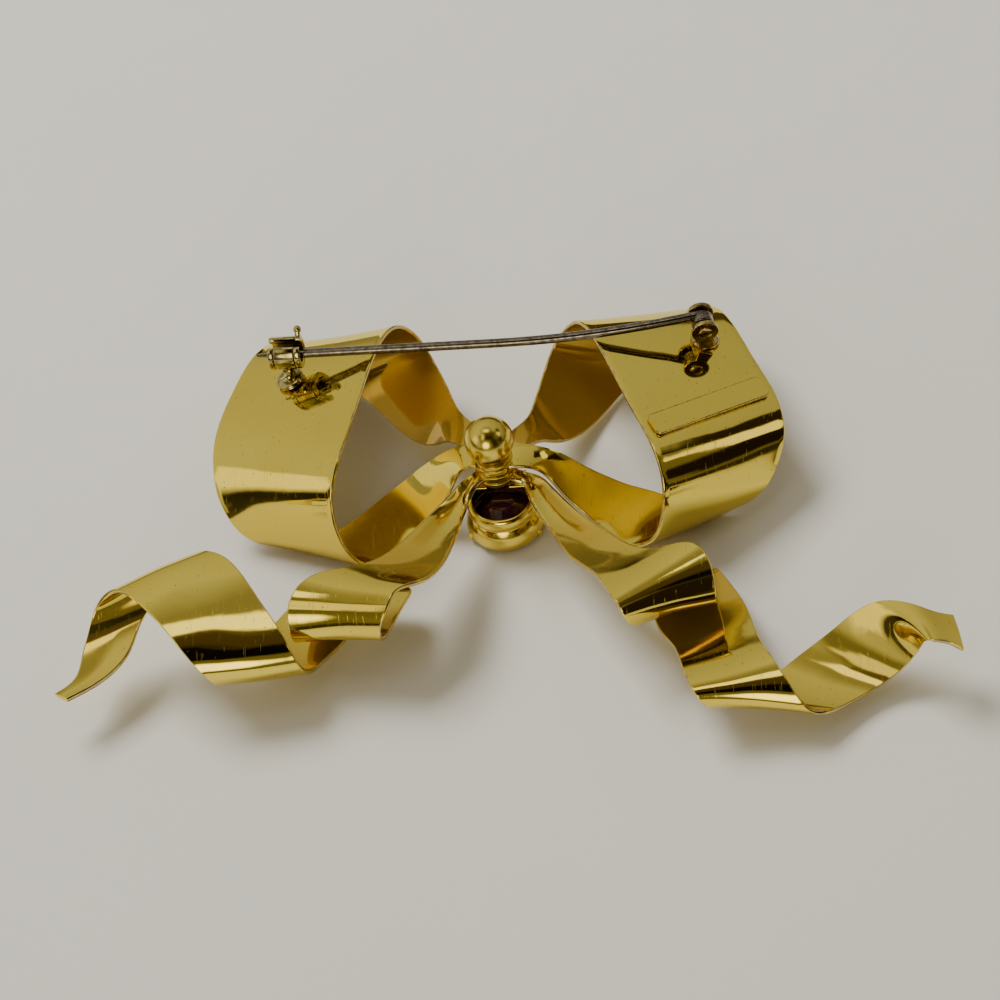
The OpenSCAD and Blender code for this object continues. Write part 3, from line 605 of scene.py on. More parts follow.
collet = lathe(smooth_loop([
    [3.56, 0.42], [3.72, 0.36], [3.92, 0.45], [4.05, 0.8], [4.08, 1.2], [4.0, 1.6], [3.8, 2.15],
    [3.52, 2.62], [3.34, 2.86], [3.44, 3.1], [3.58, 3.45], [3.6, 3.85], [3.5, 4.2], [3.32, 4.43],
    [3.1, 4.5], [2.98, 4.35], [2.97, 4.05], [3.0, 3.4], [3.1, 2.7], [3.35, 2.1], [3.56, 1.7],
    [3.56, 1.3], [3.56, 0.9]]), at=STONE_AT, steps=144)


def tube(path, radii, sides=20, up_hint=UP):
    """A circle carried along a path, square to it and never twisted against the hint."""
    path, radii = np.asarray(path, float), np.asarray(radii, float) * np.ones(len(path))
    way = unit(np.gradient(path, axis=0))
    side = unit(np.cross(way, np.array(up_hint, float)))
    high = np.cross(side, way)
    a = np.linspace(0, 2 * np.pi, sides, endpoint=False)[None, :, None]
    ring = np.cos(a) * side[:, None] + np.sin(a) * high[:, None]
    return skin(path[:, None] + radii[:, None, None] * ring, cap=True)


CLAW_R, CLAW_TURN, STRAP_W, STRAP_T, BOSS_R = 0.26, 30, 2.2, 0.86, 1.6


def claw(angle):
    """A finger over the collet's side and front edge, along a line given as radius and height. Its
    thickness follows the root of 1 less the sixth power of the place along it, so its ends are round."""
    line = np.array([[4.0, 1.35], [4.03, 1.2], [4.08, 1.0], [4.1, 0.8], [4.04, 0.55], [3.85, 0.38],
                     [3.66, 0.36]])
    c, s = math.cos(angle), math.sin(angle)
    u = np.linspace(0, 1, 25)
    r, z = (np.interp(u * (len(line) - 1), np.arange(len(line)), line[:, k]) for k in (0, 1))
    path = ease(np.stack([r * c, r * s, z], 1), 4) + STONE_AT
    return tube(path, CLAW_R * np.sqrt(np.clip(1 - (2 * u - 1)**6, 0.02, 1)), up_hint=(c, s, 0.01))


claw_angles = np.radians([90 - side * (90 - turn * CLAW_TURN) for side in (-1, 1) for turn in (-1, 1)])
half = math.sqrt((RIM_R + RIM_T / 2)**2 - STONE_AT[1]**2)
strap_ends = [[STONE_AT[0] + side * half, 0, RIM_Z + 0.02] for side in (-1, 1)]


def bar(path, width, height, soft=0.15):
    """A rounded rectangle carried straight along a path."""
    outline = rounded(block(-width / 2, width / 2, -height / 2, height / 2), soft)
    side = np.cross(UP, unit(path[-1] - path[0]))
    return skin(path[:, None] + outline[None, :, :1] * side + outline[None, :, 1:] * UP, cap=True)


strap = bar(np.linspace(*strap_ends, 9), STRAP_W, STRAP_T)
boss = lathe(rounded(block(HOLE_R, BOSS_R, RIM_Z + 0.3, STACK_Z - FILM), 0.15))
setting = piece("collet", [collet, strap, boss] + [claw(a) for a in claw_angles])
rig.replaces(setting, "stone_setting")
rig.slot(setting, "setting_gilt")

# %% [markdown]
# The places of the catch and the hinge follow from the same shares along and across the loops as
# in the solids. A place on a loop's back is a point of the cubic between two sections, and its
# normal comes from short steps along and across.

# %% Places on the loops' backs
def place(rows, along, across):
    """Point between the two edges at a share across, with a cubic between sections, and the outward
    normal there: a short chord along crossed with a short chord across."""
    def point(i, s):
        k = int(i)
        e = cubic(*(rows[min(max(k + j, 0), len(rows) - 1)] for j in (-1, 0, 1, 2)), i - k)
        return e[:3] + (e[3:] - e[:3]) * s
    step = 0.25
    n = unit(np.cross(point(along + step, across) - point(along - step, across),
                      point(along, across + step) - point(along, across - step)))
    return point(along, across), n * np.sign(n[2])


left_rows, right_rows = bent["left_loop"][1:-1], bent["right_loop"][1:-1]
SOLDER = 0.12
PIN_R, PIN_Z, PIN_BOW = 0.475, 12.95, 1.2
EYE_R, EYE_L, EAR_R, EAR_T, EAR_GAP, RIVET_R = 1.15, 1.9, 1.4, 0.45, 0.08, 0.45
EYE_DROP, BARREL_RISE, CATCH_SHIFT = 0.65, 0.25, 1.2
EYE_Y = (EYE_L - 2 * PIN_R) / 2
catch_foot, catch_up = place(left_rows, 7.9, 0.57)
hinge_foot, hinge_up = place(right_rows, 7.65, 0.73)
eye_at = np.array([hinge_foot[0], hinge_foot[1] + EYE_Y, PIN_Z])
hinge_at = eye_at - [0, 0, EYE_DROP]
catch_at = np.array([catch_foot[0], catch_foot[1] + CATCH_SHIFT, PIN_Z])
barrel_at = catch_at + [0, 0, BARREL_RISE]
bend_at = (eye_at + catch_at) / 2 - [0, PIN_BOW, 0]
pin_way = unit(catch_at - bend_at)
pin_left = np.array([-pin_way[1], pin_way[0], 0])
span = eye_at - bend_at
bow_r = (span @ span) / (2 * abs(span @ pin_left))
bow_angle = 2 * math.asin(np.linalg.norm(span) / (2 * bow_r))
eye_turn = math.atan2(pin_way[1], pin_way[0]) + bow_angle
eye_x = np.array([math.cos(eye_turn), math.sin(eye_turn), 0])
eye_axis = np.array([-math.sin(eye_turn), math.cos(eye_turn), 0])
print("hinge", np.round(hinge_at + KNOT, 2), "catch", np.round(barrel_at + KNOT, 2), "bow", round(bow_r, 1))

# %% [markdown]
# The pin is one steel wire. It is straight through the catch, bows towards its hinge and is coiled
# there round the rivet. Its point is ground to a long cone. The wire is a circle carried along one
# path whose radius shrinks over the point, and the coil is the same wire, flattened in winding.

# %% Pin
PIN_PAST, POINT_L, BARREL_L, SHORT_OF_EYE = 1.6, 3.4, 3.3, 0.45
straight_l = np.linalg.norm(catch_at - bend_at) + BARREL_L / 2 + PIN_PAST
near_tip = np.array([0, 0.02, 0.06, 0.15, 0.4, 1, 1.8, 2.6, 3.1, 3.4, 3.7, 4.2])
along = np.concatenate([straight_l - near_tip, np.linspace(straight_l - 5, 0, 24)])
straight = bend_at + along[:, None] * pin_way
turned = np.linspace(0, bow_angle - SHORT_OF_EYE / bow_r, 60)[1:, None]
inward = np.sign(span @ pin_left) * pin_left
bowed = bend_at - pin_way * bow_r * np.sin(turned) + inward * bow_r * (1 - np.cos(turned))
from_tip = np.concatenate([straight_l - along, np.full(len(bowed), straight_l)])
radii = np.interp(from_tip, [0, 0.02, 0.06, 0.15, POINT_L - 0.3, POINT_L + 0.3],
                  [0.02, 0.06, 0.09, 0.115, PIN_R * 0.95, PIN_R])
wire = tube(np.vstack([straight, bowed]), radii, sides=32)


def squared(v):
    """A sine or cosine raised to the power 0.75, sign kept: the circle bulges towards a square."""
    return np.sign(v) * np.abs(v)**0.75


TURNS = 2
wind = np.linspace(0, 1, 40 * TURNS + 1)[:, None]
turned = wind * TURNS * 2 * np.pi
coil_mid, coil_half = (EYE_R + RIVET_R + FILM) / 2, (EYE_R - RIVET_R - FILM) / 2
coil_out = np.cos(turned) * eye_x + np.sin(turned) * UP
coil_y = EYE_Y - EYE_L / 2 + EYE_L / TURNS / 2 + (EYE_L - EYE_L / TURNS) * wind
coil_line = hinge_at + coil_mid * coil_out + coil_y * eye_axis
s = np.linspace(0, 2 * np.pi, 24, endpoint=False)[None, :, None]
coil = skin(coil_line[:, None] + squared(np.cos(s)) * coil_half * coil_out[:, None]
            + squared(np.sin(s)) * (EYE_L / TURNS / 2) * eye_axis, cap=True)
pin = piece("pin_wire", [wire, coil], body="pin")
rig.replaces(pin, "pin_stem")
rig.slot(pin, "pin_steel")

# %% [markdown]
# The hinge is a foot, a web and two ears of pale gilt metal. An ear is a disc that runs down into a
# leg, so its outline is an arc and two straight sides, and the plate gets soft edges all round.

# %% Plates with soft edges
def plate(outline, thick, at, x, y, soft=0.1):
    """A flat outline given thickness along the normal x cross y, with its edges stepped in along a
    quarter circle."""
    o, x, y = (np.array(v, float) for v in (outline, x, y))
    way = unit(np.roll(o, -1, 0) - np.roll(o, 1, 0))
    out = np.stack([way[:, 1], -way[:, 0]], 1)
    turn = np.linspace(0, np.pi / 2, 5)
    inset, rise = soft * (1 - np.sin(turn)), thick / 2 - soft * (1 - np.cos(turn))
    level = np.concatenate([-rise, rise[::-1]])[:, None, None] * np.cross(x, y)
    flat = o[None] - out[None] * np.concatenate([inset, inset[::-1]])[:, None, None]
    return skin(np.array(at) + flat[..., :1] * x + flat[..., 1:] * y + level, cap=True)


def domed_foot(at, normal, r=1.5, t=0.5):
    """A low button with a soft rim, turned round the normal of the sheet that it is soldered to."""
    x = np.cross(normal, [0, 1, 0])
    return lathe([[0, 0], [r - 0.12, 0], [r, 0.08], [r, t * 0.5], [r - 0.1, t * 0.8], [r - 0.35, t],
                  [0, t * 1.05]], at=at, x=x, z=normal, steps=64, closed=False)


LEG_HALF, LEG_SUNK, EAR_FROM, EAR_TO = 0.8, 0.45, -62, 242
ear_y = EYE_L / 2 + EAR_GAP + EAR_T / 2
hinge_seat = hinge_foot + hinge_up * (SHEET / 2 + SOLDER)
leg_z = hinge_seat[2] + LEG_SUNK - hinge_at[2]
ear_outline = np.vstack([arc(EAR_R, EAR_FROM, EAR_TO, 61), [[-LEG_HALF, leg_z], [LEG_HALF, leg_z]]])
hinge_mid = hinge_at + EYE_Y * eye_axis
ears = [plate(ear_outline, EAR_T, hinge_mid + side * ear_y * eye_axis, eye_x, UP) for side in (-1, 1)]
web = rounded(block(-LEG_HALF, LEG_HALF, leg_z, -EYE_R - 0.2), 0.15)
web = plate(web, 2 * ear_y, hinge_mid, eye_x, UP, 0.02)
hinge = piece("hinge_ears", [domed_foot(hinge_seat, hinge_up), *ears, web])
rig.replaces(hinge, "hinge_base")
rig.slot(hinge, "hinge_metal")

shank = ear_y + EAR_T / 2 + FILM
dome = [[0.7, 0.02], [0.67, 0.1], [0.5, 0.17], [0.25, 0.2], [0, 0.2]]
half_rivet = [[RIVET_R, shank]] + [[r, shank + y] for r, y in dome]
rivet_line = [[r, -y] for r, y in half_rivet[::-1]] + half_rivet
rivet = piece("rivet", [lathe(rivet_line, at=hinge_mid, x=eye_x, z=eye_axis, steps=48, closed=False)])
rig.replaces(rivet, "hinge_rivet")
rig.slot(rivet, "hinge_metal")

# %% [markdown]
# The safety catch is a slotted housing with a slotted sleeve turning inside it. Both are lathe work
# that stops short of a full turn, which leaves the slot. The sleeve's rims hide the housing's ends,
# and a small tongue on one rim turns it.

# %% Catch
HOUSING_R, HOUSING_L, SLEEVE_RIM, WALL, PLAY, SLOT_W = 1.7, 2.1, 0.55, 0.3, 0.05, 1.15
BORE_R = HOUSING_R - WALL
SLEEVE_R = BORE_R - PLAY
barrel_side = np.cross(pin_way, UP)
open_half = math.degrees(math.asin(SLOT_W / 2 / HOUSING_R))


def slotted(outline, soft=0.07, lip=0.3):
    """An outline of (radius, place along the pin) carried round the barrel's axis, all but the slot at
    the top. Near each lip the outline shrinks towards its middle radius as a quarter circle does, so
    the lips are round."""
    o = rounded(outline, soft, 3)
    a = np.radians(np.linspace(open_half, 360 - open_half, 121))
    away = np.minimum(a - a[0], a[-1] - a) * HOUSING_R
    thick = np.sqrt(np.clip(1 - (1 - np.minimum(away / lip, 1))**2, 0.03, 1))[:, None]
    middle = (o[:, 0].min() + o[:, 0].max()) / 2
    r = middle + (o[None, :, 0] - middle) * thick
    spoke = np.cos(a)[:, None] * UP + np.sin(a)[:, None] * barrel_side
    return skin(barrel_at + r[..., None] * spoke[:, None] + o[None, :, 1:] * pin_way, cap=True)


catch_seat = catch_foot + catch_up * (SHEET / 2 + SOLDER)
neck_way = barrel_at - catch_seat
NECK_R, NECK_SUNK = 0.65, 0.25
neck_l = np.linalg.norm(neck_way) - BORE_R - WALL / 2
t = np.linspace(0, 1, 15)
# the neck widens towards its foot and towards the barrel, each by a falling exponential
neck_r = NECK_R + 0.35 * np.exp(-7 * t) + 0.12 * np.exp(-9 * (1 - t))
neck_line = np.stack([neck_r, NECK_SUNK + t * (neck_l - NECK_SUNK)], 1)
neck_x = [1, 0, 0] - neck_way * neck_way[0] / (neck_way @ neck_way)
neck = lathe(np.vstack([[[0, NECK_SUNK]], neck_line, [[0, neck_l]]]), at=catch_seat, x=neck_x,
             z=neck_way, steps=48, closed=False)
h = HOUSING_L / 2
housing = slotted(block(BORE_R, HOUSING_R, -h, h), 0.1)
catch = piece("catch_housing", [housing, neck, domed_foot(catch_seat, catch_up)])
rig.replaces(catch, "catch_base")
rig.slot(catch, "catch_metal")

LEVER_TILT, LEVER_REACH, LEVER_T, TIP_R, KNOB_R = math.radians(38), 1.1, 0.52, 0.4, 0.42
h, q = BARREL_L / 2, BARREL_L / 2 - SLEEVE_RIM
spool = [[SLEEVE_R - WALL, -h], [HOUSING_R, -h], [HOUSING_R, -q], [SLEEVE_R, -q],
         [SLEEVE_R, q], [HOUSING_R, q], [HOUSING_R, h], [SLEEVE_R - WALL, h]]
tilt = math.sin(LEVER_TILT) * np.sign(barrel_side[1])
lever_up = math.cos(LEVER_TILT) * UP + tilt * barrel_side
lever_r = HOUSING_R + LEVER_REACH
tongue = np.vstack([arc(TIP_R, 0, 180, 25, lever_r - TIP_R),
                    [[-0.34, 2.1], [-0.42, 1.6], [0.42, 1.6], [0.34, 2.1]]])
lever_at = barrel_at - pin_way * (HOUSING_L / 2 + PLAY + SLEEVE_RIM / 2)
lever = plate(tongue, LEVER_T, lever_at, np.cross(lever_up, pin_way), lever_up, 0.18)
knob = lathe(ball_outline(KNOB_R, 0, 0.01 - KNOB_R), at=lever_at + lever_up * (lever_r - KNOB_R),
             x=pin_way, z=lever_up, steps=32, closed=False)
sleeve = piece("catch_barrel", [slotted(spool, 0.12), lever, knob], body="sleeve")
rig.replaces(sleeve, "catch_sleeve")
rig.slot(sleeve, "catch_metal")

# %% [markdown]
# The tag is a thin plate that follows the right loop's back. Its section has soft edges, and its
# corners are rounded by narrowing it towards both ends.

# %% Tag
TAG_W, TAG_T, CORNER = 2.6, 0.4, 0.5
tag_from, tag_to = np.array([9.15, 0.06]), np.array([8.85, 0.93])
down = (1 - np.cos(np.linspace(0, np.pi, 49))) / 2
spots = [place(right_rows, *(tag_from + (tag_to - tag_from) * s)) for s in down]
tag_mid = np.array([p + n * (SHEET / 2 + SOLDER + TAG_T / 2) for p, n in spots])
tag_up = np.array([n for p, n in spots])
run = spots[-1][0] - spots[0][0]
tag_side = np.cross(unit(run), tag_up)
from_end = np.minimum(down, 1 - down) * np.linalg.norm(run)
into_corner = np.clip(CORNER - from_end, 0, CORNER)
tag_half = tag_side * (TAG_W / 2 - CORNER + np.sqrt(CORNER**2 - into_corner**2))[:, None]
tag_edges = np.hstack([tag_mid - tag_half, tag_mid + tag_half])
tag_grid, tag_edge = sheet_surface(tag_edges, sheet_rim(15, 0.14, TAG_T), 0, 0)
tag = piece("tag", [skin(tag_grid, cap=True)], edge=tag_edge.ravel())
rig.replaces(tag, "tag_plate")
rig.slot(tag, "tag_gilt")

# %% [markdown]
# Materials. One function turns the hex colours that a painter would pick into linear light, and
# one adds a node with its settings and links.

# %% Material helpers
def hex_colour(text):
    """sRGB hex to linear RGBA: values up to 0.04045 are divided by 12.92, others follow a power of 2.4."""
    v = np.array([int(text[i:i + 2], 16) / 255 for i in (1, 3, 5)])
    return (*np.where(v <= 0.04045, v / 12.92, ((v + 0.055) / 1.055)**2.4), 1.0)


def add(tree, kind, inputs=None, pick=0, **settings):
    """Adds a node, sets its properties, and for each input sets a value or makes a link. It gives
    back the picked output, or the first."""
    node = tree.nodes.new("ShaderNode" + kind)
    for key, value in settings.items():
        setattr(node, key, value)
    for key, value in (inputs or {}).items():
        if isinstance(value, bpy.types.NodeSocket):
            tree.links.new(value, node.inputs[key])
        else:
            node.inputs[key].default_value = value
    return node.outputs[pick] if node.outputs else node


def material(name, **sockets):
    """A new material with its principled shader's constants set: the material, its node tree, the
    shader and the object's own coordinates."""
    made = bpy.data.materials.new(name)
    made.use_nodes = True
    tree = made.node_tree
    shader = tree.nodes["Principled BSDF"]
    for key, value in sockets.items():
        shader.inputs[key.replace("_", " ")].default_value = value
    return made, tree, shader, add(tree, "TexCoord", pick="Object")


def painted(tree, under, share, colour, strength=1.0):
    """The colour, made as many times brighter as the strength, laid over what is under it by a share."""
    bright = tuple(c * strength for c in hex_colour(colour)[:3]) + (1.0,)
    return add(tree, "Mix", {0: share, 6: under, 7: bright}, pick=2, data_type="RGBA")


def wire_up(tree, shader, **sockets):
    """Links each output to the shader's input of that name."""
    for key, value in sockets.items():
        tree.links.new(value, shader.inputs[key.replace("_", " ")])


def dress(made, *worn_by):
    """Each of the pieces wears this material alone."""
    for one in worn_by:
        one.data.materials.clear()
        one.data.materials.append(made)
    print(made.name, "on", [one.name for one in worn_by])


GILT_YELLOW, PER_M = "#F4E265", 1 / MM
print("polished gilt in linear light", np.round(hex_colour(GILT_YELLOW), 3))

# %% [markdown]
# The gilt finish is gold plating on polished sheet silver. It mirrors its surroundings with a warm
# tint. Years of wear leave pin-prick pits, short hairline scratches and pale cut edges where the
# plating has rubbed through. Pits are 0.15 mm across, at most one in each cell of 0.7 mm, and
# hairlines are drawn 0.06 and 0.07 mm wide. Both are a little coarser than the real ones, so that
# they show. In the hollows, shade and the amber of gold reflected in gold are painted: an attribute
# deepens the tint to amber and lowers the metallic value a little.

# %% Gilt
def scratches(tree, where, angle, length, width, cut):
    """Stretched noise: fine across a scratch and long along it, cut to thin lines at a high level."""
    turned = add(tree, "Mapping", {"Vector": where, "Rotation": (0.4, 0.3, math.radians(angle)),
                                   "Scale": (PER_M / width, PER_M / length, PER_M / length)})
    noise = add(tree, "TexNoise", {"Vector": turned, "Scale": 1.0, "Detail": 1.0})
    return add(tree, "MapRange", {0: noise, 1: cut, 2: cut + 0.05})


PIT_CELL, HAZE, RUB, SWIM, WOBBLE, DENT = 0.7, 9, 0.7, 3.5, 0.02, 0.012


def gilt(name, colour, rough, with_painted_shade=True, wear=True):
    """Gold plating: its tint and roughness drift with a haze, and pits, hairlines, painted shade in the
    hollows and rubbed edges are laid over that. Sizes are in millimetres."""
    made, tree, shader, where = material(name, Metallic=1.0, Roughness=rough)
    spots = add(tree, "TexVoronoi", {"Vector": where, "Scale": PER_M / PIT_CELL, "Randomness": 1.0})
    pit = add(tree, "MapRange", {0: spots, 1: 0.04, 2: 0.11, 3: 1.0, 4: 0.0})
    sparse = add(tree, "SeparateColor", {0: spots.node.outputs["Color"]})
    chosen = add(tree, "MapRange", {0: sparse, 1: 0.36, 2: 0.42})
    pit = add(tree, "Math", {0: pit, 1: chosen}, operation="MULTIPLY")
    two_ways = {0: scratches(tree, where, 25, 3.0, 0.07, 0.735),
                1: scratches(tree, where, 100, 2.2, 0.06, 0.74)}
    lines = add(tree, "Math", two_ways, operation="MAXIMUM")
    haze = add(tree, "TexNoise", {"Vector": where, "Scale": PER_M / HAZE, "Detail": 4.0})
    marks = add(tree, "Math", {0: lines, 1: 0.25}, operation="MULTIPLY")
    tint = hex_colour(colour)
    for share, over in ((haze, "#EDCF52"), (marks, "#8E6F22"), (pit, "#4A330C")):
        tint = painted(tree, tint, share, over)
    # painted shade: where the attribute is high the tint turns dark amber and the metal less metallic
    if with_painted_shade:
        amber = add(tree, "Attribute", pick="Fac", attribute_name="amber")
        tint = painted(tree, tint, amber, "#BA952C")
        metal = add(tree, "Math", {0: amber, 1: -0.3, 2: 1.0}, operation="MULTIPLY_ADD")
        wire_up(tree, shader, Metallic=metal)
    rough_out = add(tree, "MapRange", {0: haze, 1: 0.3, 2: 0.75, 3: rough * 0.7, 4: rough * 1.6})
    rough_out = add(tree, "Math", {0: lines, 1: 0.1, 2: rough_out}, operation="MULTIPLY_ADD")
    if wear:
        edge = add(tree, "Attribute", pick="Fac", attribute_name="edge")
        rub = add(tree, "TexNoise", {"Vector": where, "Scale": PER_M / RUB, "Detail": 3.0})
        reach = add(tree, "MapRange", {0: rub, 1: 0.46, 2: 0.7, 3: 0.0, 4: 0.2})
        worn = add(tree, "Math", {0: reach, 1: edge}, operation="SUBTRACT")
        worn = add(tree, "MapRange", {0: worn, 1: -0.05, 2: 0.05})
        tint = painted(tree, tint, worn, "#C8B27A")
        rough_out = add(tree, "Math", {0: worn, 1: 0.12, 2: rough_out}, operation="MULTIPLY_ADD")
    swim = add(tree, "TexNoise", {"Vector": where, "Scale": PER_M / SWIM, "Detail": 2.0})
    waved = add(tree, "Bump", {"Height": swim, "Strength": 1.0, "Distance": WOBBLE * MM})
    dents = add(tree, "Math", {0: pit, 1: lines}, operation="MAXIMUM")
    bump = add(tree, "Bump", {"Height": dents, "Strength": 0.35, "Distance": -DENT * MM, "Normal": waved})
    wire_up(tree, shader, Base_Color=tint, Roughness=rough_out, Normal=bump)
    return made


polished_gilt = gilt("polished_gilt_sheet", GILT_YELLOW, 0.06)
turned_gilt = gilt("turned_gilt", "#EBD460", 0.15, with_painted_shade=False, wear=False)
satin_gilt = gilt("satin_gilt", "#E6D060", 0.24, wear=False)
dress(polished_gilt, *ribbons.values(), tag)
dress(satin_gilt, collar, post)
dress(turned_gilt, setting)

# %% [markdown]
# The findings are harder metals. The pin is drawn steel that has darkened, the catch is pale nickel
# brass and the hinge is gilt that is dull with wear. Each is mottled in grains of its own size.

# %% Findings
def plain_metal(name, colour, dark, rough, grain):
    """Polished metal whose colour and roughness drift with a noise of the grain's size in millimetres."""
    made, tree, shader, where = material(name, Metallic=1.0, Roughness=rough)
    drift = add(tree, "TexNoise", {"Vector": where, "Scale": PER_M / grain, "Detail": 5.0})
    amount = add(tree, "MapRange", {0: drift, 1: 0.4, 2: 0.75})
    rough_out = add(tree, "MapRange", {0: drift, 1: 0.3, 2: 0.8, 3: rough * 0.7, 4: rough * 1.8})
    bump = add(tree, "Bump", {"Height": drift, "Strength": 0.4, "Distance": 0.01 * MM})
    tint = painted(tree, hex_colour(colour), amount, dark)
    wire_up(tree, shader, Base_Color=tint, Roughness=rough_out, Normal=bump)
    return made


pin_steel = plain_metal("drawn_steel", "#8C8474", "#4C4439", 0.13, 0.5)
catch_brass = plain_metal("nickel_brass", "#CDBF80", "#6A5A2C", 0.1, 0.8)
hinge_worn = plain_metal("worn_gilt", "#D6BE7C", "#6E5A34", 0.14, 0.8)
dress(pin_steel, pin)
dress(catch_brass, catch, sleeve)
dress(hinge_worn, hinge, rivet)

# %% [markdown]
# The stone is dark purple glass paste with polished flat facets, so its solid is already right and
# only takes a finish. It is nearly opaque: light enters, is tinted and mostly stays inside.

# %% Stone
CLOUD = 2.5
stone_glass, tree, shader, where = material("purple_paste", Roughness=0.09, IOR=1.6,
                                            Transmission_Weight=0.35)
cloud = add(tree, "TexNoise", {"Vector": where, "Scale": PER_M / CLOUD, "Detail": 2.0})
wire_up(tree, shader, Base_Color=painted(tree, hex_colour("#4A2038"), cloud, "#6C3650"))
stone = frame["nodes"]["stone"]
dress(stone_glass, stone)
print("stone faces", len(stone.data.polygons))

# %% [markdown]
# The brooch lies on a plain pale sheet in a bright room. A mirror finish shows the room more than
# itself, so the room matters: pale walls and ceiling, with soft-edged dark and bright cards on them
# where the metal shows dark and bright streaks. The world is painted by direction only, so it stays
# put in any view. The sheet reaches 9 m each way, so that no low view sees past it.

# %% Floor, room and lamp
FAR, UNDER, FLECK = 9, -0.00001, 60  # metres, metres and millimetres
mesh = bpy.data.meshes.new("floor")
mesh.from_pydata([(*corner, UNDER) for corner in block(-FAR, FAR, -FAR, FAR)], [], [(0, 1, 2, 3)])
floor = in_scene("floor", mesh)
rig.stage(floor)
paper, tree, shader, where = material("pale_card", Roughness=0.6)
fleck = add(tree, "TexNoise", {"Vector": where, "Scale": PER_M / FLECK, "Detail": 6.0})
wire_up(tree, shader, Base_Color=painted(tree, hex_colour("#DBD8CD"), fleck, "#E1DED3"))
dress(paper, floor)

world = bpy.data.worlds.new("room")
bpy.context.scene.world = world
world.use_nodes = True
tree = world.node_tree
tree.nodes.clear()
way = add(tree, "TexCoord", pick="Generated")
x, y, height = add(tree, "SeparateXYZ", {0: way}).node.outputs
walls = add(tree, "ValToRGB", {0: height})
ramp = walls.node.color_ramp
stops = [(0.0, "#8A857A"), (0.13, "#8C877C"), (0.3, "#B2AEA3"), (0.5, "#B9B5AB"), (0.86, "#C9C5BC"),
         (0.95, "#8E897E")]
while len(ramp.elements) < len(stops):
    ramp.elements.new(0.5)
for element, (spot, colour) in zip(ramp.elements, stops):
    element.position, element.color = spot, hex_colour(colour)
above = add(tree, "Math", {0: height, 1: 0.04}, operation="MAXIMUM")
east, north = (add(tree, "Math", {0: v, 1: above}, operation="DIVIDE") for v in (x, y))


def card(u, v, low_u, high_u, low_v, high_v, soft):
    """How much of a card a direction meets: one inside the limits of u and v, falling smoothly to
    none over the soft width outside. It is the product of a smooth step at each of the four limits."""
    total = None
    for along, low, high in ((u, low_u, high_u), (v, low_v, high_v)):
        for start, end in ((low - soft, low), (high + soft, high)):
            share = add(tree, "MapRange", {0: along, 1: start, 2: end},
                        interpolation_type="SMOOTHSTEP")
            total = share if total is None else add(
                tree, "Math", {0: total, 1: share}, operation="MULTIPLY")
    return total


side = add(tree, "MapRange", {0: x, 1: -0.9, 2: 0.9, 3: 1.25, 4: 0.72})
room = add(tree, "VectorMath", {0: walls, 1: side}, operation="MULTIPLY")
unsteady = add(tree, "TexNoise", {"Vector": way, "Scale": 5.0, "Detail": 3.0})
shift = add(tree, "MapRange", {0: unsteady, 1: 0.3, 2: 0.7, 3: -0.07, 4: 0.07})
compass = add(tree, "Math", {0: x, 1: y}, operation="ARCTAN2")
east_off, north_off, bearing = (add(tree, "Math", {0: v, 1: shift})
                                for v in (east, north, compass))
window_way = Vector((-0.1, -0.9, 0.42)).normalized()
aside, ahead, toward = (add(tree, "VectorMath", {0: way, 1: v}, pick="Value", operation="DOT_PRODUCT")
                        for v in ((0.97, 0.24, 0), (0.24, -0.97, 0), window_way))
deg = math.radians
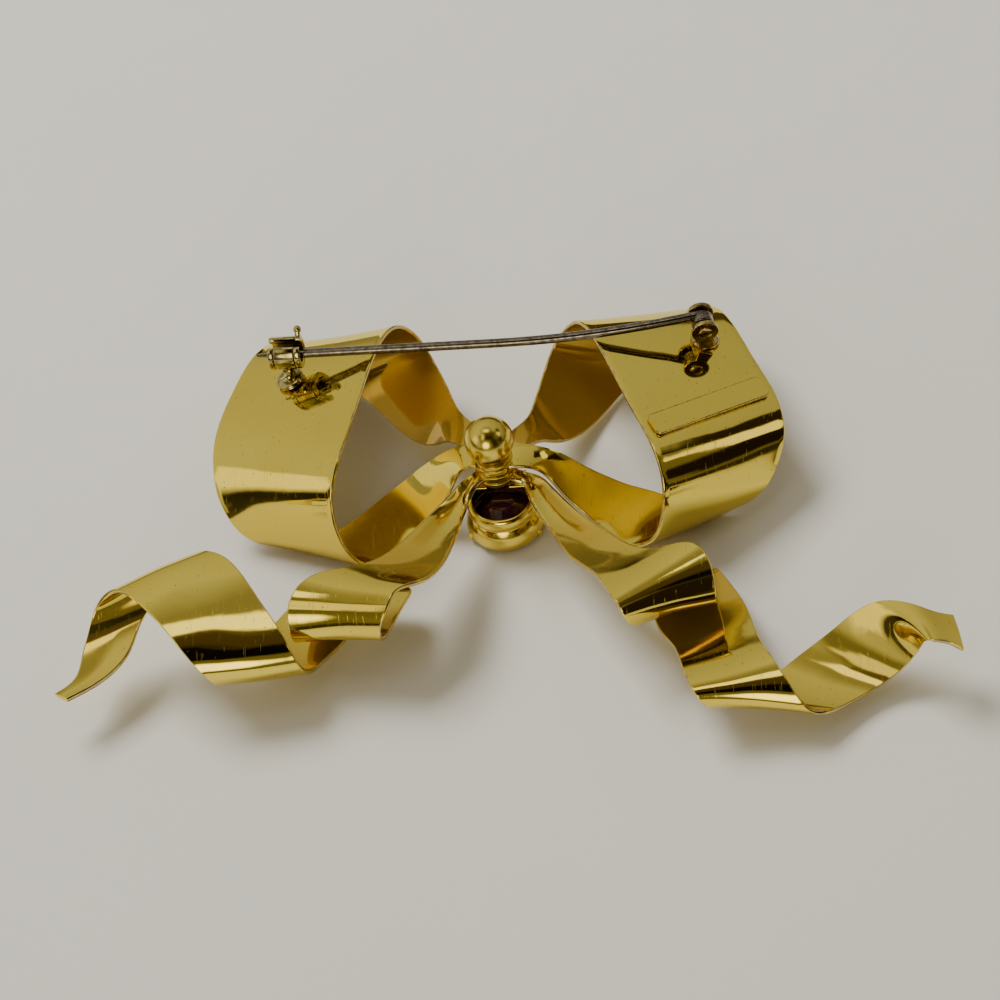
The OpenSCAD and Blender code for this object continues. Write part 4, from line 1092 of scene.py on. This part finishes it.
# two coordinates, the limits of each, the soft width, the colour, and its strength where it isn't 1
cards = [
    (aside, ahead, -0.6, 0.8, 0.1, 1.2, 0.14, "#6E6852"),
    (east_off, north_off, -0.2, 0.65, -0.34, -0.08, 0.1, "#4A3E30"),
    (east_off, north_off, -0.14, 0.55, -0.8, -0.42, 0.14, "#0E0A06"),
    (bearing, height, deg(128), deg(150), -0.2, 0.7, 0.12, "#241C12"),
    (bearing, height, deg(-165), deg(-95), -0.2, 0.1, 0.06, "#3A3226"),
    (bearing, height, deg(-128), deg(-95), -0.2, 0.2, 0.06, "#1C160C"),
    (bearing, height, deg(-10), deg(25), -0.2, 0.22, 0.06, "#4A3C22"),
    (bearing, height, deg(-19), deg(-11), -0.2, 0.24, 0.05, "#2E2210"),
    (bearing, height, deg(78), deg(130), -0.2, 0.08, 0.05, "#2E261B"),
    (bearing, height, deg(98), deg(116), 0.2, 0.5, 0.08, "#1E160E"),
    (bearing, height, deg(62), deg(80), 0.6, 0.75, 0.05, "#2A2015"),
    (bearing, height, deg(84), deg(95), 0.52, 0.7, 0.04, "#FFF4DC", 1.3),
    (east_off, north_off, -0.5, -0.3, -0.8, -0.28, 0.08, "#FFF4DC", 1.1),
    (bearing, height, deg(-122), deg(-98), 0.34, 0.58, 0.1, "#FFF4DC", 1.3),
    (east, north, -0.22, 0.14, 0.0, 0.16, 0.05, "#FFF6E4", 1.8)]
for row in cards:
    room = painted(tree, room, card(*row[:7]), *row[7:])
glow = add(tree, "MapRange", {0: toward, 1: 0.955, 2: 0.985}, interpolation_type="SMOOTHSTEP")
room = painted(tree, room, glow, "#FFF4DC", 3.2)
print("cards in the room:", len(cards))
sky = add(tree, "Background", {0: room, 1: 1.0})
add(tree, "OutputWorld", {0: sky})

lamp = bpy.data.lights.new("soft_window", "AREA")
lamp.shape, lamp.size, lamp.size_y, lamp.energy = "RECTANGLE", 0.45, 0.35, 9.0
lamp_object = in_scene("soft_window", lamp)
lamp_object.location = Vector((-0.4, 0.45, 0.7))
lamp_object.rotation_mode = "QUATERNION"
lamp_object.rotation_quaternion = lamp_object.location.to_track_quat("Z", "Y")
lamp_object.visible_glossy = False

# %% [markdown]
# Last, the box of the solids and the box of what is shown are written down.

# %% Write both boxes
with open("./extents.json", "w") as out:
    json.dump({"cad": [list(v) for v in cad_box], "visual": [list(v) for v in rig.bounds()]}, out)
print(open("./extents.json").read())
